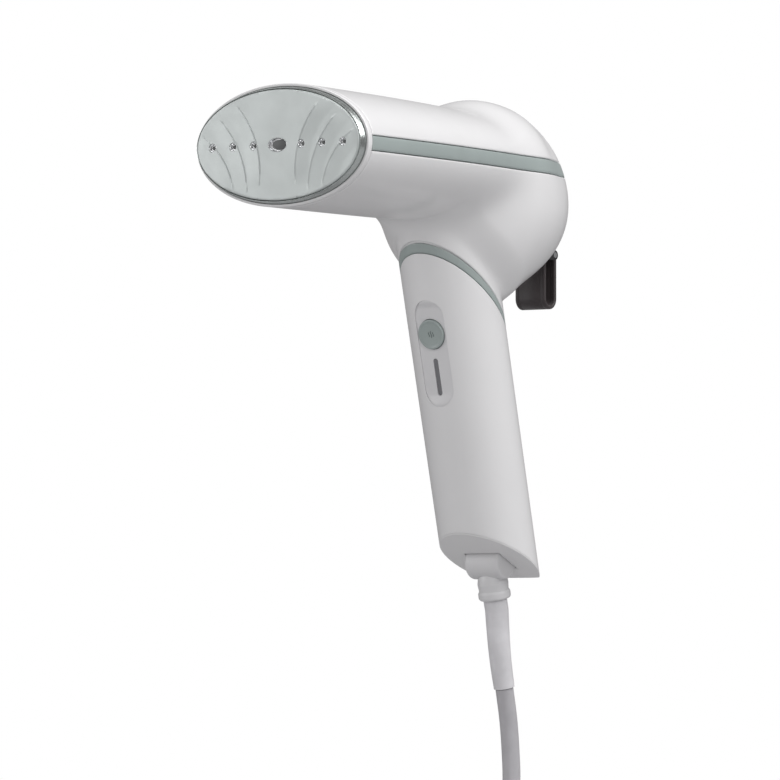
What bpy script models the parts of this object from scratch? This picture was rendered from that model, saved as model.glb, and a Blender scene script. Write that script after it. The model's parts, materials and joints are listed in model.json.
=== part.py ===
"""Handheld garment steamer with a folding head, a removable water tank and a swivelling cord.

The origin is the middle of the grip. The head points along -Y, +Z is up and X = 0 is the
plane of symmetry. All sizes are in metres.
"""

import math

import bmesh
import bpy
from mathutils import Matrix, Vector

OBJECT_NAME = "handheld_steamer"

GAP = 0.0003
WALL = 0.0022
SEGMENTS = 40

# Handle: an oval column that leans back at the bottom.
HANDLE_TILT = math.radians(13.7)
HANDLE_RX = 0.0213
HANDLE_RY = 0.0206
SEAM_HEIGHT = 0.0576
BOTTOM_DEPTH = 0.0575
BOTTOM_TILT = math.radians(39.2)
# Below this height the slanted lower end is trimmed level.
TIP_Z = -0.0630

# Neck joint: the head twists about the normal of this slanted plane.
NECK_TILT = math.radians(37.8)
SEAM = Vector((0, -math.sin(HANDLE_TILT), math.cos(HANDLE_TILT))) * SEAM_HEIGHT
RING_HEIGHT = 0.0034
# Rows above the ring: height over the seam, shift along it, and the two radii.
NECK_FLARE = (
    (0.0080, -0.0096, 0.0233, 0.0350),
    (0.0120, -0.0137, 0.0262, 0.0382),
    (0.0175, -0.0185, 0.0295, 0.0405),
    (0.0240, -0.0240, 0.0312, 0.0405),
)
SPINDLE_R = 0.0086

# Barrel: an oval tube whose section shrinks a little towards the back.
BARREL_Z = 0.1167
BARREL_FRONT = -0.1345
BARREL_SECTIONS = (
    (-0.1345, 0.0452, 0.0260, 0.1167),
    (-0.0700, 0.0443, 0.0256, 0.1155),
    (-0.0310, 0.0420, 0.0248, 0.1147),
    (0.0000, 0.0360, 0.0236, 0.1140),
    (0.0100, 0.0300, 0.0200, 0.1136),
)

# Drum: the rounded rear of the head, with its own radius in each direction.
DRUM_CENTRE = Vector((0, -0.0013, 0.0990))
DRUM_X = 0.0395
DRUM_FRONT = 0.0370
DRUM_BACK = 0.0480
DRUM_UP = 0.0450
DRUM_DOWN = 0.0420

# Coloured band along each side, falling slightly towards the back.
BAND_START = Vector((0, 0.0100, 0.1111))
BAND_WIDTH = 0.0065
BAND_TILT = math.radians(0.65)

# Removable tank at the back: it pulls out along its own tilted axis.
TANK_TILT = math.radians(62.0)
TANK_SEAM = 0.0319
TANK_RX = 0.0245
TANK_RY = 0.0285
TANK_DEPTH = 0.0270

# Hanging loop: its pin sits between two lugs behind the drum.
LOOP_Y = 0.0490
LOOP_Z = 0.0790
LUG_INNER = 0.0084
LUG_OUTER = 0.0102

# Steam plate.
PLATE_RX = 0.0424
PLATE_RZ = 0.0233
PLATE_FRONT = -0.1407
HOLE_SPACING = 0.0108
HOLE_SHIFT = 0.0017
BEZEL_RX = 0.0452
BEZEL_RZ = 0.0260
HOLE_R = 0.0016

# Controls on the front of the handle, heights along the handle's own axis.
PANEL_Y = -0.0190
PANEL_W = 0.0150
PANEL_LOW = 0.0156
PANEL_TOP = 0.0625
BUTTON_Z = 0.0473
BUTTON_R = 0.0065
LIGHT_LOW = 0.0204
LIGHT_TOP = 0.0364

# Cord swivel, strain relief and mains cord.
KNUCKLE_R = 0.0085
KNUCKLE_HALF = 0.0087
KNUCKLE_Z = -0.0583
CORD_R = 0.0040
FLOOR_Z = -0.2050
COIL_CENTRE = Vector((-0.0500, -0.0600, 0))
COIL_R = 0.0460
COIL_HALF_WIDTH = 0.0085
COIL_HEIGHT = 0.0250
COIL_LIFT = 0.0016
PLUG_R = 0.0172


# ---------------------------------------------------------------- helpers


def clear_scene():
    for obj in list(bpy.data.objects):
        bpy.data.objects.remove(obj, do_unlink=True)


def make_collection(name):
    group = bpy.data.collections.new(name)
    bpy.context.scene.collection.children.link(group)
    return group


def make_material(name, color, roughness, metallic=0.0):
    mat = bpy.data.materials.new(name)
    mat.use_nodes = True
    shader = mat.node_tree.nodes["Principled BSDF"]
    shader.inputs["Base Color"].default_value = (*color, 1)
    shader.inputs["Roughness"].default_value = roughness
    shader.inputs["Metallic"].default_value = metallic
    mat.diffuse_color = (*color, 1)
    return mat


def add_mesh(name, mesh, mat=None, frame=None, cutter=False):
    """Put a mesh in the scene, as a part or as a hidden cutter, in a frame of its own."""
    mesh.name = name
    obj = bpy.data.objects.new(name, mesh)
    group = CUTTERS if cutter else PARTS
    group.objects.link(obj)
    obj.parent = frame
    if cutter:
        obj.hide_render = True
        obj.display_type = "WIRE"
    if mat is not None:
        mesh.materials.clear()
        mesh.materials.append(mat)
    mesh.shade_smooth()
    mesh.set_sharp_from_angle(angle=math.radians(35))
    return obj


def add_bmesh(name, bm, **options):
    bmesh.ops.recalc_face_normals(bm, faces=bm.faces)
    mesh = bpy.data.meshes.new(name)
    bm.to_mesh(mesh)
    bm.free()
    return add_mesh(name, mesh, **options)


def oval(rx, ry, z, segments=SEGMENTS, centre=(0, 0)):
    """Points of an ellipse in a plane of constant z."""
    points = []
    for i in range(segments):
        angle = 2 * math.pi * i / segments
        points.append(
            Vector((centre[0] + rx * math.cos(angle), centre[1] + ry * math.sin(angle), z))
        )
    return points


def loft(rings, closed=False):
    """Skin a row of equal rings, capped at the ends or closed into a hoop."""
    bm = bmesh.new()
    rows = [[bm.verts.new(p) for p in ring] for ring in rings]
    pairs = list(zip(rows, rows[1:]))
    if closed:
        pairs.append((rows[-1], rows[0]))
    else:
        bm.faces.new(rows[0])
        bm.faces.new(rows[-1])
    for low, high in pairs:
        for i in range(len(low)):
            j = (i + 1) % len(low)
            bm.faces.new((low[i], low[j], high[j], high[i]))
    return bm


def stack(profile, segments=SEGMENTS, centre=(0, 0), closed=False):
    """Loft of ovals from (rx, ry, z) rows."""
    return loft([oval(rx, ry, z, segments, centre) for rx, ry, z in profile], closed)


def turned(profile, segments=24, centre=(0, 0)):
    """Round piece about Z from (r, z) rows."""
    return stack([(r, r, z) for r, z in profile], segments, centre)


def hoop(outer, inner, low, high, segments=SEGMENTS):
    """Oval ring between two radii pairs and two heights."""
    rows = ((*outer, low), (*outer, high), (*inner, high), (*inner, low))
    return stack(rows, segments, closed=True)


def box(x, y, z):
    """Box between the low and high value of each axis."""
    bm = bmesh.new()
    size = Matrix.Diagonal((x[1] - x[0], y[1] - y[0], z[1] - z[0], 1))
    middle = Matrix.Translation(((x[0] + x[1]) / 2, (y[0] + y[1]) / 2, (z[0] + z[1]) / 2))
    bmesh.ops.create_cube(bm, size=1, matrix=middle @ size)
    return bm


def rod(radius, start, end, segments=20):
    """Cylinder between two points."""
    axis = Vector(end) - Vector(start)
    turn = axis.to_track_quat("Z", "Y").to_matrix().to_4x4()
    middle = Matrix.Translation((Vector(start) + Vector(end)) / 2)
    bm = bmesh.new()
    bmesh.ops.create_cone(
        bm,
        cap_ends=True,
        segments=segments,
        radius1=radius,
        radius2=radius,
        depth=axis.length,
        matrix=middle @ turn,
    )
    return bm


def slot_prism(width, low, high, y0, y1, arc_steps=10):
    """Upright slot with round ends, as a prism along Y."""
    radius = width / 2
    outline = []
    for centre, start in ((high - radius, 0), (low + radius, math.pi)):
        for i in range(arc_steps + 1):
            angle = start + math.pi * i / arc_steps
            outline.append((radius * math.cos(angle), centre + radius * math.sin(angle)))
    return loft([[Vector((x, y, z)) for x, z in outline] for y in (y0, y1)])


def boolean(obj, cutter, operation):
    step = obj.modifiers.new(operation.lower(), "BOOLEAN")
    step.operation = operation
    step.solver = "EXACT"
    step.object = cutter


def cut(obj, *cutters):
    for cutter in cutters:
        boolean(obj, cutter, "DIFFERENCE")


def join(obj, *others):
    for other in others:
        boolean(obj, other, "UNION")


def keep(obj, region):
    boolean(obj, region, "INTERSECT")


def evaluated_copy(obj, name, **options):
    """New object from another one's finished shape, in world space."""
    bpy.context.view_layer.update()
    graph = bpy.context.evaluated_depsgraph_get()
    mesh = bpy.data.meshes.new_from_object(obj.evaluated_get(graph))
    mesh.transform(obj.matrix_world)
    return add_mesh(name, mesh, **options)


def tube(name, points, radius, mat, radii=None, sides=2, frame=None):
    """Round tube along points, with filled ends."""
    curve = bpy.data.curves.new(name, "CURVE")
    curve.dimensions = "3D"
    curve.bevel_depth = radius
    curve.bevel_resolution = sides
    curve.use_fill_caps = True
    spline = curve.splines.new("POLY")
    spline.points.add(len(points) - 1)
    for i, point in enumerate(points):
        spline.points[i].co = (*point, 1)
        spline.points[i].radius = radii[i] if radii else 1.0
    curve.materials.append(mat)
    obj = bpy.data.objects.new(name, curve)
    PARTS.objects.link(obj)
    obj.parent = frame
    return obj


def smooth_route(route, spacing):
    """Points about `spacing` apart on a Catmull-Rom curve through the route."""
    knots = [Vector(p) for p in route]
    ends = [2 * knots[0] - knots[1], *knots, 2 * knots[-1] - knots[-2]]
    points = [knots[0]]
    for a, b, c, d in zip(ends, ends[1:], ends[2:], ends[3:]):
        steps = max(1, round((c - b).length / spacing))
        for i in range(1, steps + 1):
            t = i / steps
            points.append(
                0.5
                * (
                    2 * b
                    + (c - a) * t
                    + (2 * a - 5 * b + 4 * c - d) * t**2
                    + (3 * b - a - 3 * c + d) * t**3
                )
            )
    return points


def tilted_frame(name, origin, tilt):
    """Empty whose Z axis leans towards +Y by the tilt."""
    frame = bpy.data.objects.new(name, None)
    PARTS.objects.link(frame)
    frame.location = origin
    frame.rotation_euler = (-tilt, 0, 0)
    return frame


def slab(name, low, high, frame=None, half=0.3):
    """Large flat region between two heights of a frame."""
    bm = box((-half, half), (-half, half), (low, high))
    return add_bmesh(name, bm, frame=frame, cutter=True)


# ---------------------------------------------------------------- head shapes


def drum_form(name, inset):
    """Egg-like rear body: a sphere stretched by its own radius in each direction."""
    bm = bmesh.new()
    bmesh.ops.create_uvsphere(bm, u_segments=SEGMENTS, v_segments=20, radius=1)
    for vert in bm.verts:
        reach_y = DRUM_BACK if vert.co.y > 0 else DRUM_FRONT
        reach_z = DRUM_UP if vert.co.z > 0 else DRUM_DOWN
        vert.co.x *= DRUM_X - inset
        vert.co.y *= reach_y - inset
        vert.co.z *= reach_z - inset
        vert.co += DRUM_CENTRE
    return add_bmesh(name, bm, cutter=True)


def barrel_form(name, inset, front):
    rings = []
    for i, (y, rx, rz, z) in enumerate(BARREL_SECTIONS):
        ring = oval(rx - inset, rz - inset, 0)
        depth = front if i == 0 else y
        rings.append([Vector((p.x, depth, z + p.y)) for p in ring])
    return add_bmesh(name, loft(rings), cutter=True)


def neck_form(name, inset):
    """Slanted sections above the seam, flaring until they meet the drum and the barrel."""
    slant = HANDLE_TILT + NECK_TILT
    seam_ry = HANDLE_RY / math.cos(slant)
    rings = []
    for height in (-0.022 - inset, 0.0, RING_HEIGHT):
        shift = -height * math.tan(slant)
        rings.append(oval(HANDLE_RX - inset, seam_ry - inset, height, centre=(0, shift)))
    for height, shift, rx, ry in NECK_FLARE:
        rings.append(oval(rx - inset, ry - inset, height, centre=(0, shift)))
    return add_bmesh(name, loft(rings), frame=NECK, cutter=True)


def head_form(name, inset, front):
    body = barrel_form(name, inset, front)
    join(body, drum_form(name + "_drum", inset), neck_form(name + "_neck", inset))
    return body


def housing(name, mat, regions=(), removed=()):
    """One cover of the head: a region of the outer form, hollowed by the inner form."""
    piece = evaluated_copy(bpy.data.objects["head_outer"], name, mat=mat)
    for region in regions:
        keep(piece, region)
    cut(piece, *removed, bpy.data.objects["head_inner"])


def make_housings():
    outer = head_form("head_outer", 0, BARREL_FRONT)
    below_neck = box((-0.030, 0.030), (-0.040, 0.075), (-0.08, RING_HEIGHT + GAP))
    cut(outer, add_bmesh("below_neck", below_neck, frame=NECK, cutter=True))
    head_form("head_inner", WALL, BARREL_FRONT - 0.02)
    behind_seam = slab("behind_seam", TANK_SEAM - GAP / 2, 0.3, frame=TANK)
    tank_side = slab("tank_side", TANK_SEAM + GAP / 2, 0.3, frame=TANK)
    top = slab("top_region", BAND_WIDTH + GAP / 2, 0.3, frame=BAND)
    middle = slab("band_region", GAP / 2, BAND_WIDTH - GAP / 2, frame=BAND)
    low = slab("low_region", -0.3, -GAP / 2, frame=BAND)
    housing("upper_housing", WHITE, (top,), (behind_seam,))
    housing("lower_housing", WHITE, (low,), (behind_seam,))
    add_loop_lugs()
    housing("rear_cap", WHITE, (tank_side,))
    for side, span in (("right", (0.001, 0.2)), ("left", (-0.2, -0.001))):
        half = add_bmesh(side + "_half", box(span, (-0.3, 0.3), (0, 0.3)), cutter=True)
        housing("side_band_" + side, SAGE, (middle, half), (behind_seam,))


# ---------------------------------------------------------------- steam plate and boiler


def facing(name, bm, mat, cutter=False):
    """Add a piece made along Z so that its height runs towards -Y at the barrel's axis."""
    turn = Matrix.Translation((0, 0, BARREL_Z)) @ Matrix.Rotation(math.pi / 2, 4, "X")
    bmesh.ops.transform(bm, matrix=turn, verts=bm.verts)
    return add_bmesh(name, bm, mat=mat, cutter=cutter)


def make_plate():
    """Front pieces: heights are distances forward of the origin plane."""
    face = -PLATE_FRONT
    rim = -BARREL_FRONT + GAP
    plate = facing(
        "steam_plate",
        stack(
            (
                (PLATE_RX, PLATE_RZ, rim),
                (PLATE_RX, PLATE_RZ, face - 0.0006),
                (PLATE_RX - 0.0006, PLATE_RZ - 0.0006, face),
            ),
            64,
        ),
        STEEL,
    )
    for i in range(-3, 4):
        step = HOLE_SPACING * i + HOLE_SHIFT * ((i > 0) - (i < 0))
        rx, rz = (HOLE_R, HOLE_R) if i else (0.0046, 0.0030)
        drill = stack(((rx, rz, rim - 0.01), (rx, rz, face + 0.01)), 16, (step, 0))
        cut(plate, facing(f"steam_hole_{i + 3}", drill, None, cutter=True))
    lip = 0.0008
    ring = stack(
        (
            (PLATE_RX + GAP, PLATE_RZ + GAP, rim),
            (PLATE_RX + GAP + lip, PLATE_RZ + GAP + lip, rim),
            (PLATE_RX + GAP + lip, PLATE_RZ + GAP + lip, face - 0.0030),
            (PLATE_RX + GAP + 0.0005, PLATE_RZ + GAP + 0.0005, face - 0.0007),
            (PLATE_RX + GAP, PLATE_RZ + GAP, face - 0.0007),
        ),
        64,
        closed=True,
    )
    facing("plate_rim", ring, CHROME)
    inner = (PLATE_RX + 3 * GAP + lip, PLATE_RZ + 3 * GAP + lip)
    bezel = stack(
        (
            (BEZEL_RX, BEZEL_RZ, rim),
            (BEZEL_RX, BEZEL_RZ, rim + 0.0016),
            (BEZEL_RX - 0.0005, BEZEL_RZ - 0.0005, rim + 0.0027),
            (*inner, rim + 0.0027),
            (*inner, rim),
        ),
        64,
        closed=True,
    )
    facing("front_bezel", bezel, WHITE)


def make_boiler():
    """Cast steam chamber, open towards the plate, with the parts that heat and guard it."""
    front = -BARREL_FRONT - GAP
    facing("plate_gasket", hoop((0.0424, 0.0230), (0.0388, 0.0194), front - 0.0022, front), RUBBER)
    back = 0.0850
    block = facing("boiler_block", stack(((0.0355, 0.0144, back), (0.0378, 0.0152, 0.1318))), CAST)
    chamber = stack(((0.0300, 0.0090, back + 0.008), (0.0318, 0.0105, 0.1328)))
    cut(block, facing("chamber", chamber, None, cutter=True))
    bend, height = 0.0115, BARREL_Z + 0.0178
    route = [Vector((bend, -0.1280, height))]
    for i in range(9):
        angle = math.pi * i / 8
        route.append(Vector((bend * math.cos(angle), -0.0960 + bend * math.sin(angle), height)))
    route.append(Vector((-bend, -0.1280, height)))
    tube("heating_element", route, 0.0028, CHROME, sides=2)
    stat = turned(((0.0070, back - 0.0050), (0.0075, back - 0.0045), (0.0075, back - GAP)), 24)
    facing("thermostat", stat, BLACK)
    fuse = rod(0.0020, (-0.0070, -0.0950, BARREL_Z - 0.0186), (0.0070, -0.0950, BARREL_Z - 0.0186))
    add_bmesh("thermal_fuse", fuse, mat=COPPER)


def make_pump():
    """Small pump between tank and boiler, with its two hoses."""
    centre = (0.0130, -0.0010)
    body = turned(
        ((0.0080, 0.0340), (0.0080, 0.0460), (0.0100, 0.0465), (0.0100, 0.0620), (0.0030, 0.0625)),
        24,
        centre,
    )
    facing("water_pump", body, BLACK)
    top = BARREL_Z - 0.0010
    outlet = [
        (0.0130, -0.0635, top),
        (0.0130, -0.0700, top),
        (0.0150, -0.0760, top),
        (0.0180, -0.0805, top),
        (0.0190, -0.0845, top),
    ]
    tube("steam_hose", outlet, 0.0020, RUBBER)
    inlet = [
        (0.0130, -0.0325, top),
        (0.0125, -0.0270, top - 0.0010),
        (0.0090, -0.0200, top - 0.0080),
        (0.0030, -0.0150, top - 0.0150),
        (0.0000, -0.0105, top - 0.0195),
    ]
    tube("inlet_hose", smooth_route(inlet, 0.004), 0.0020, RUBBER)


def make_tank():
    """Water vessel behind the rear cap, its valve, and the fixed socket that receives it."""
    top = TANK_SEAM - 0.0018
    bottom = top - TANK_DEPTH
    vessel = stack(((TANK_RX, TANK_RY, bottom), (TANK_RX, TANK_RY, top)))
    tank = add_bmesh("water_tank", vessel, mat=CLEAR, frame=TANK)
    wall = 0.0015
    hollow = stack(
        ((TANK_RX - wall, TANK_RY - wall, bottom + wall), (TANK_RX - wall, TANK_RY - wall, top + 0.01))
    )
    cut(tank, add_bmesh("tank_hollow", hollow, frame=TANK, cutter=True))
    valve = turned(((0.0022, bottom - 0.0045), (0.0040, bottom - 0.0030), (0.0040, bottom - GAP)))
    add_bmesh("tank_valve", valve, mat=RUBBER, frame=TANK)
    base = bottom - 0.0080
    socket = stack(
        (
            (0.0060, 0.0060, base),
            (0.0060, 0.0060, bottom - 0.0012),
            (0.0044, 0.0044, bottom - 0.0012),
            (0.0044, 0.0044, base + 0.0020),
            (0.0012, 0.0012, base + 0.0020),
            (0.0012, 0.0012, base),
        ),
        24,
        closed=True,
    )
    add_bmesh("tank_socket", socket, mat=GREY, frame=TANK)


def add_loop_lugs():
    """Two lugs on the rear of the lower housing, bored for the loop's pin."""
    lower = PARTS.objects["lower_housing"]
    for side in (-1, 1):
        x = sorted((side * LUG_INNER, side * LUG_OUTER))
        lug = box(x, (LOOP_Y - 0.0118, LOOP_Y + 0.0018), (LOOP_Z - 0.0026, LOOP_Z + 0.0022))
        join(lower, add_bmesh(f"lug_{side + 1}", lug, cutter=True))
    bore = rod(0.0013 + GAP, (-0.03, LOOP_Y, LOOP_Z), (0.03, LOOP_Y, LOOP_Z), 16)
    cut(lower, add_bmesh("lug_bore", bore, cutter=True))


def make_hanging_loop():
    """Soft strap loop that hangs from a pin behind the drum."""
    pin_y, pin_z = LOOP_Y, LOOP_Z
    width, thick = 0.0080, 0.0017
    rings = []
    for inset in (0, thick):
        ring = []
        half = 0.0048 - inset
        for centre_z, start in ((pin_z - 0.0010, 0), (0.0600, math.pi)):
            for i in range(9):
                angle = start + math.pi * i / 8
                ring.append((pin_y + half * math.cos(angle), centre_z + half * math.sin(angle)))
        rings.append(ring)
    corners = (
        [Vector((-width, y, z)) for y, z in rings[0]],
        [Vector((width, y, z)) for y, z in rings[0]],
        [Vector((width, y, z)) for y, z in rings[1]],
        [Vector((-width, y, z)) for y, z in rings[1]],
    )
    add_bmesh("hanging_loop", loft(corners, closed=True), mat=BROWN)
    end = LUG_OUTER + GAP
    pin = rod(0.0013, (-end, pin_y, pin_z), (end, pin_y, pin_z), 16)
    add_bmesh("loop_pin", pin, mat=CHROME)


# ---------------------------------------------------------------- neck joint


def make_neck_joint():
    """Ring, bearing and hollow spindle on the slanted axis."""
    slice_low, slice_high = GAP, RING_HEIGHT
    tall = ((HANDLE_RX, HANDLE_RY, 0.0), (HANDLE_RX, HANDLE_RY, 0.12))
    ring = add_bmesh("neck_ring", stack(tall), mat=SAGE, frame=HANDLE)
    keep(ring, slab("ring_region", slice_low, slice_high, frame=NECK))
    bore = turned(((0.0160, -0.02), (0.0160, 0.02)), 32)
    cut(ring, add_bmesh("ring_bore", bore, frame=NECK, cutter=True))
    bearing = hoop(
        (0.0150, 0.0150), (SPINDLE_R + GAP, SPINDLE_R + GAP), -0.0060, RING_HEIGHT - 0.001, 32
    )
    add_bmesh("neck_bearing", bearing, mat=GREY, frame=NECK)
    spindle = stack(
        (
            (SPINDLE_R, SPINDLE_R, -0.0100),
            (SPINDLE_R, SPINDLE_R, RING_HEIGHT + GAP),
            (0.0165, 0.0165, RING_HEIGHT + GAP),
            (0.0165, 0.0165, RING_HEIGHT + 0.0024),
            (SPINDLE_R, SPINDLE_R, RING_HEIGHT + 0.0030),
            (SPINDLE_R, SPINDLE_R, 0.0100),
            (0.0062, 0.0062, 0.0100),
            (0.0062, 0.0062, -0.0100),
        ),
        32,
        closed=True,
    )
    add_bmesh("neck_spindle", spindle, mat=GREY, frame=NECK)
    clip = hoop((0.0110, 0.0110), (SPINDLE_R + GAP / 2, SPINDLE_R + GAP / 2), -0.0078, -0.0064, 32)
    add_bmesh("retaining_clip", clip, mat=CHROME, frame=NECK)
    harness = rod(0.0030, (0, 0, -0.0080), (0, 0, 0.0180), 14)
    add_bmesh("wire_harness", harness, mat=BLACK, frame=NECK)


# ---------------------------------------------------------------- handle


def handle_column(inset):
    """Oval column, a little slimmer towards the bottom."""
    rows = ((-0.12, 0.975), (0.05, 1.0), (0.14, 1.0))
    return stack([((HANDLE_RX - inset) * s, (HANDLE_RY - inset) * s, z) for z, s in rows])


def make_handle_shell():
    shell = add_bmesh("handle_shell", handle_column(0), mat=WHITE, frame=HANDLE)
    cut(shell, add_bmesh("handle_inner", handle_column(WALL), frame=HANDLE, cutter=True))
    cut(shell, slab("over_seam", 0.0, 0.3, frame=NECK))
    cut(shell, slab("under_bottom", -0.3, 0.0, frame=BOTTOM), slab("shell_tip", -0.3, TIP_Z))
    window = slot_prism(PANEL_W, PANEL_LOW, PANEL_TOP, -0.03, -0.012)
    cut(shell, add_bmesh("panel_window", window, frame=HANDLE, cutter=True))


def make_controls():
    """Recessed panel with the steam button and the light bar, and what sits behind them."""
    low, top = PANEL_LOW + GAP, PANEL_TOP - GAP
    panel = add_bmesh(
        "control_panel",
        slot_prism(PANEL_W - 2 * GAP, low, top, PANEL_Y, PANEL_Y + 0.0018),
        mat=PALE,
        frame=HANDLE,
    )
    hole = rod(BUTTON_R + 0.0004, (0, -0.03, BUTTON_Z), (0, -0.012, BUTTON_Z), 32)
    cut(panel, add_bmesh("button_hole", hole, frame=HANDLE, cutter=True))
    window = slot_prism(0.0026, LIGHT_LOW - GAP, LIGHT_TOP + GAP, -0.03, -0.012, 6)
    cut(panel, add_bmesh("light_window", window, frame=HANDLE, cutter=True))
    guide = slot_prism(0.0020, LIGHT_LOW, LIGHT_TOP, PANEL_Y + 0.0002, -0.0140, 6)
    add_bmesh("light_guide", guide, mat=SMOKE, frame=HANDLE)
    face = PANEL_Y - 0.0012
    button = turned(
        (
            (0.0020, -0.0152),
            (0.0020, -0.0166),
            (BUTTON_R, -0.0166),
            (BUTTON_R, face + 0.0006),
            (BUTTON_R - 0.0006, face),
        ),
        32,
    )
    turn = Matrix(((1, 0, 0, 0), (0, 0, 1, 0), (0, -1, 0, BUTTON_Z), (0, 0, 0, 1)))
    bmesh.ops.transform(button, matrix=turn, verts=button.verts)
    add_bmesh("steam_button", button, mat=SAGE, frame=HANDLE)
    middle = BUTTON_Z
    switch = box((-0.0032, 0.0032), (-0.0136, -0.0100), (middle - 0.0032, middle + 0.0032))
    add_bmesh("micro_switch", switch, mat=BLACK, frame=HANDLE)
    lamp = box((-0.0016, 0.0016), (-0.0130, -0.0100), (0.0262, 0.0306))
    add_bmesh("indicator_led", lamp, mat=PALE, frame=HANDLE)


def make_board():
    """Circuit board on a long carrier, held by two screws."""
    board = add_bmesh(
        "control_board",
        box((-0.0110, 0.0110), (-0.0097, -0.0081), (0.0020, 0.0515)),
        mat=BOARD,
        frame=HANDLE,
    )
    carrier = add_bmesh(
        "inner_carrier",
        box((-0.0125, 0.0125), (-0.0078, -0.0050), (-0.0320, 0.0440)),
        mat=GREY,
        frame=HANDLE,
    )
    for name, x, height in (("upper", 0.0075, 0.0400), ("lower", 0.0, 0.0070)):
        hole = rod(0.0014, (x, -0.03, height), (x, 0.01, height), 16)
        drill = add_bmesh("screw_hole_" + name, hole, frame=HANDLE, cutter=True)
        cut(board, drill)
        cut(carrier, drill)
        screw = turned(
            ((0.0011, -0.0040), (0.0011, -0.0100), (0.0022, -0.0100), (0.0020, -0.0114)), 16
        )
        turn = Matrix(((1, 0, 0, x), (0, 0, 1, 0), (0, -1, 0, height), (0, 0, 0, 1)))
        bmesh.ops.transform(screw, matrix=turn, verts=screw.verts)
        add_bmesh("board_screw_" + name, screw, mat=CHROME, frame=HANDLE)


def make_bottom():
    """Slanted end plate with a pocket and two ears that carry the cord swivel."""
    column = handle_column(WALL + GAP)
    cap = add_bmesh("bottom_cap", column, mat=WHITE, frame=HANDLE)
    keep(cap, slab("cap_region", 0.0, 0.0024, frame=BOTTOM))
    cut(cap, slab("cap_tip", -0.3, TIP_Z))
    ear_out = KNUCKLE_HALF + 0.0032
    for side in (-1, 1):
        near, far = sorted((side * (KNUCKLE_HALF + 0.0004), side * ear_out))
        ear = box((near, far), (-0.0050, 0.0050), (KNUCKLE_Z - 0.002, KNUCKLE_Z + 0.0080))
        ear_form = add_bmesh(f"ear_{side + 1}", ear, frame=HANDLE, cutter=True)
        cut(ear_form, slab(f"ear_trim_{side + 1}", -0.3, 0.001, frame=BOTTOM))
        join(cap, ear_form)
    reach = KNUCKLE_R + 0.0005
    pocket = rod(
        reach,
        (-KNUCKLE_HALF - 0.0004, 0, KNUCKLE_Z),
        (KNUCKLE_HALF + 0.0004, 0, KNUCKLE_Z),
        32,
    )
    cut(cap, add_bmesh("knuckle_pocket", pocket, frame=HANDLE, cutter=True))
    bore = rod(0.0024, (-0.03, 0, KNUCKLE_Z), (0.03, 0, KNUCKLE_Z), 20)
    cut(cap, add_bmesh("ear_bore", bore, frame=HANDLE, cutter=True))
    block = box((-0.0095, 0.0095), (-0.0060, 0.0060), (-0.0440, -0.0345))
    add_bmesh("terminal_block", block, mat=BLACK, frame=HANDLE)


def make_swivel():
    """Cross barrel on two stub pins, with the collar that holds the strain relief."""
    knuckle = add_bmesh(
        "cord_swivel",
        rod(KNUCKLE_R, (-KNUCKLE_HALF, 0, KNUCKLE_Z), (KNUCKLE_HALF, 0, KNUCKLE_Z), 32),
        mat=PALE,
        frame=HANDLE,
    )
    pins = rod(
        0.0021, (-KNUCKLE_HALF - 0.0026, 0, KNUCKLE_Z), (KNUCKLE_HALF + 0.0026, 0, KNUCKLE_Z), 20
    )
    collar = turned(
        (
            (0.0070, KNUCKLE_Z - 0.0160),
            (0.0066, KNUCKLE_Z - 0.0128),
            (0.0064, KNUCKLE_Z - 0.0124),
            (0.0068, KNUCKLE_Z - 0.0020),
        ),
        28,
    )
    join(knuckle, add_bmesh("stub_pins", pins, frame=HANDLE, cutter=True))
    join(knuckle, add_bmesh("swivel_collar", collar, frame=HANDLE, cutter=True))
    wire_way = rod(0.0045, (0, 0, KNUCKLE_Z - 0.03), (0, 0, KNUCKLE_Z + 0.03), 20)
    cut(knuckle, add_bmesh("wire_way", wire_way, frame=HANDLE, cutter=True))


# ---------------------------------------------------------------- cord


# The cord hangs from the sleeve and curls forward onto the surface below the head.
SLEEVE_ROUTE = (
    (0, 0.0189, -0.0770),
    (0, 0.0197, -0.0850),
    (0, 0.0207, -0.0930),
    (0, 0.0223, -0.1020),
    (0, 0.0245, -0.1110),
)
CORD_ROUTE = (
    (0, 0.0246, -0.1114),
    (0, 0.0276, -0.1250),
    (0, 0.0294, -0.1400),
    (0, 0.0298, -0.1540),
    (0, 0.0264, -0.1732),
    (0, 0.0166, -0.1878),
    (0, 0.0020, -0.1976),
    (0, -0.0152, -0.2009),
    (0, -0.0280, -0.2009),
)
DROP_END = 8
TAIL_ROUTE = (
    (-0.1000, -0.0290, -0.1895),
    (-0.1000, -0.0210, -0.1885),
    (-0.1000, -0.0142, -0.1878),
)


def make_strain_relief():
    """Tapered flexible sleeve below the collar, following the start of the cord."""
    along = Vector((0, math.sin(HANDLE_TILT), -math.cos(HANDLE_TILT)))
    start = along * (-KNUCKLE_Z + 0.0160 + GAP)
    points = [start, start + along * 0.002, *smooth_route(SLEEVE_ROUTE, 0.005)]
    last = len(points) - 1
    radii = [1.0 - 0.12 * i / last for i in range(last + 1)]
    tube("strain_relief", points, 0.0052, PALE, radii=radii, sides=4)


def split_route(points, index):
    """Two routes that face each other square across a small gap at one point."""
    along = (points[index + 1] - points[index - 1]).normalized()
    before = [points[index] - along * reach for reach in (0.0025, 0.0002)]
    after = [points[index] + along * reach for reach in (0.0002, 0.0025)]
    return [*points[:index], *before], [*after, *points[index + 1 :]]


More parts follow.
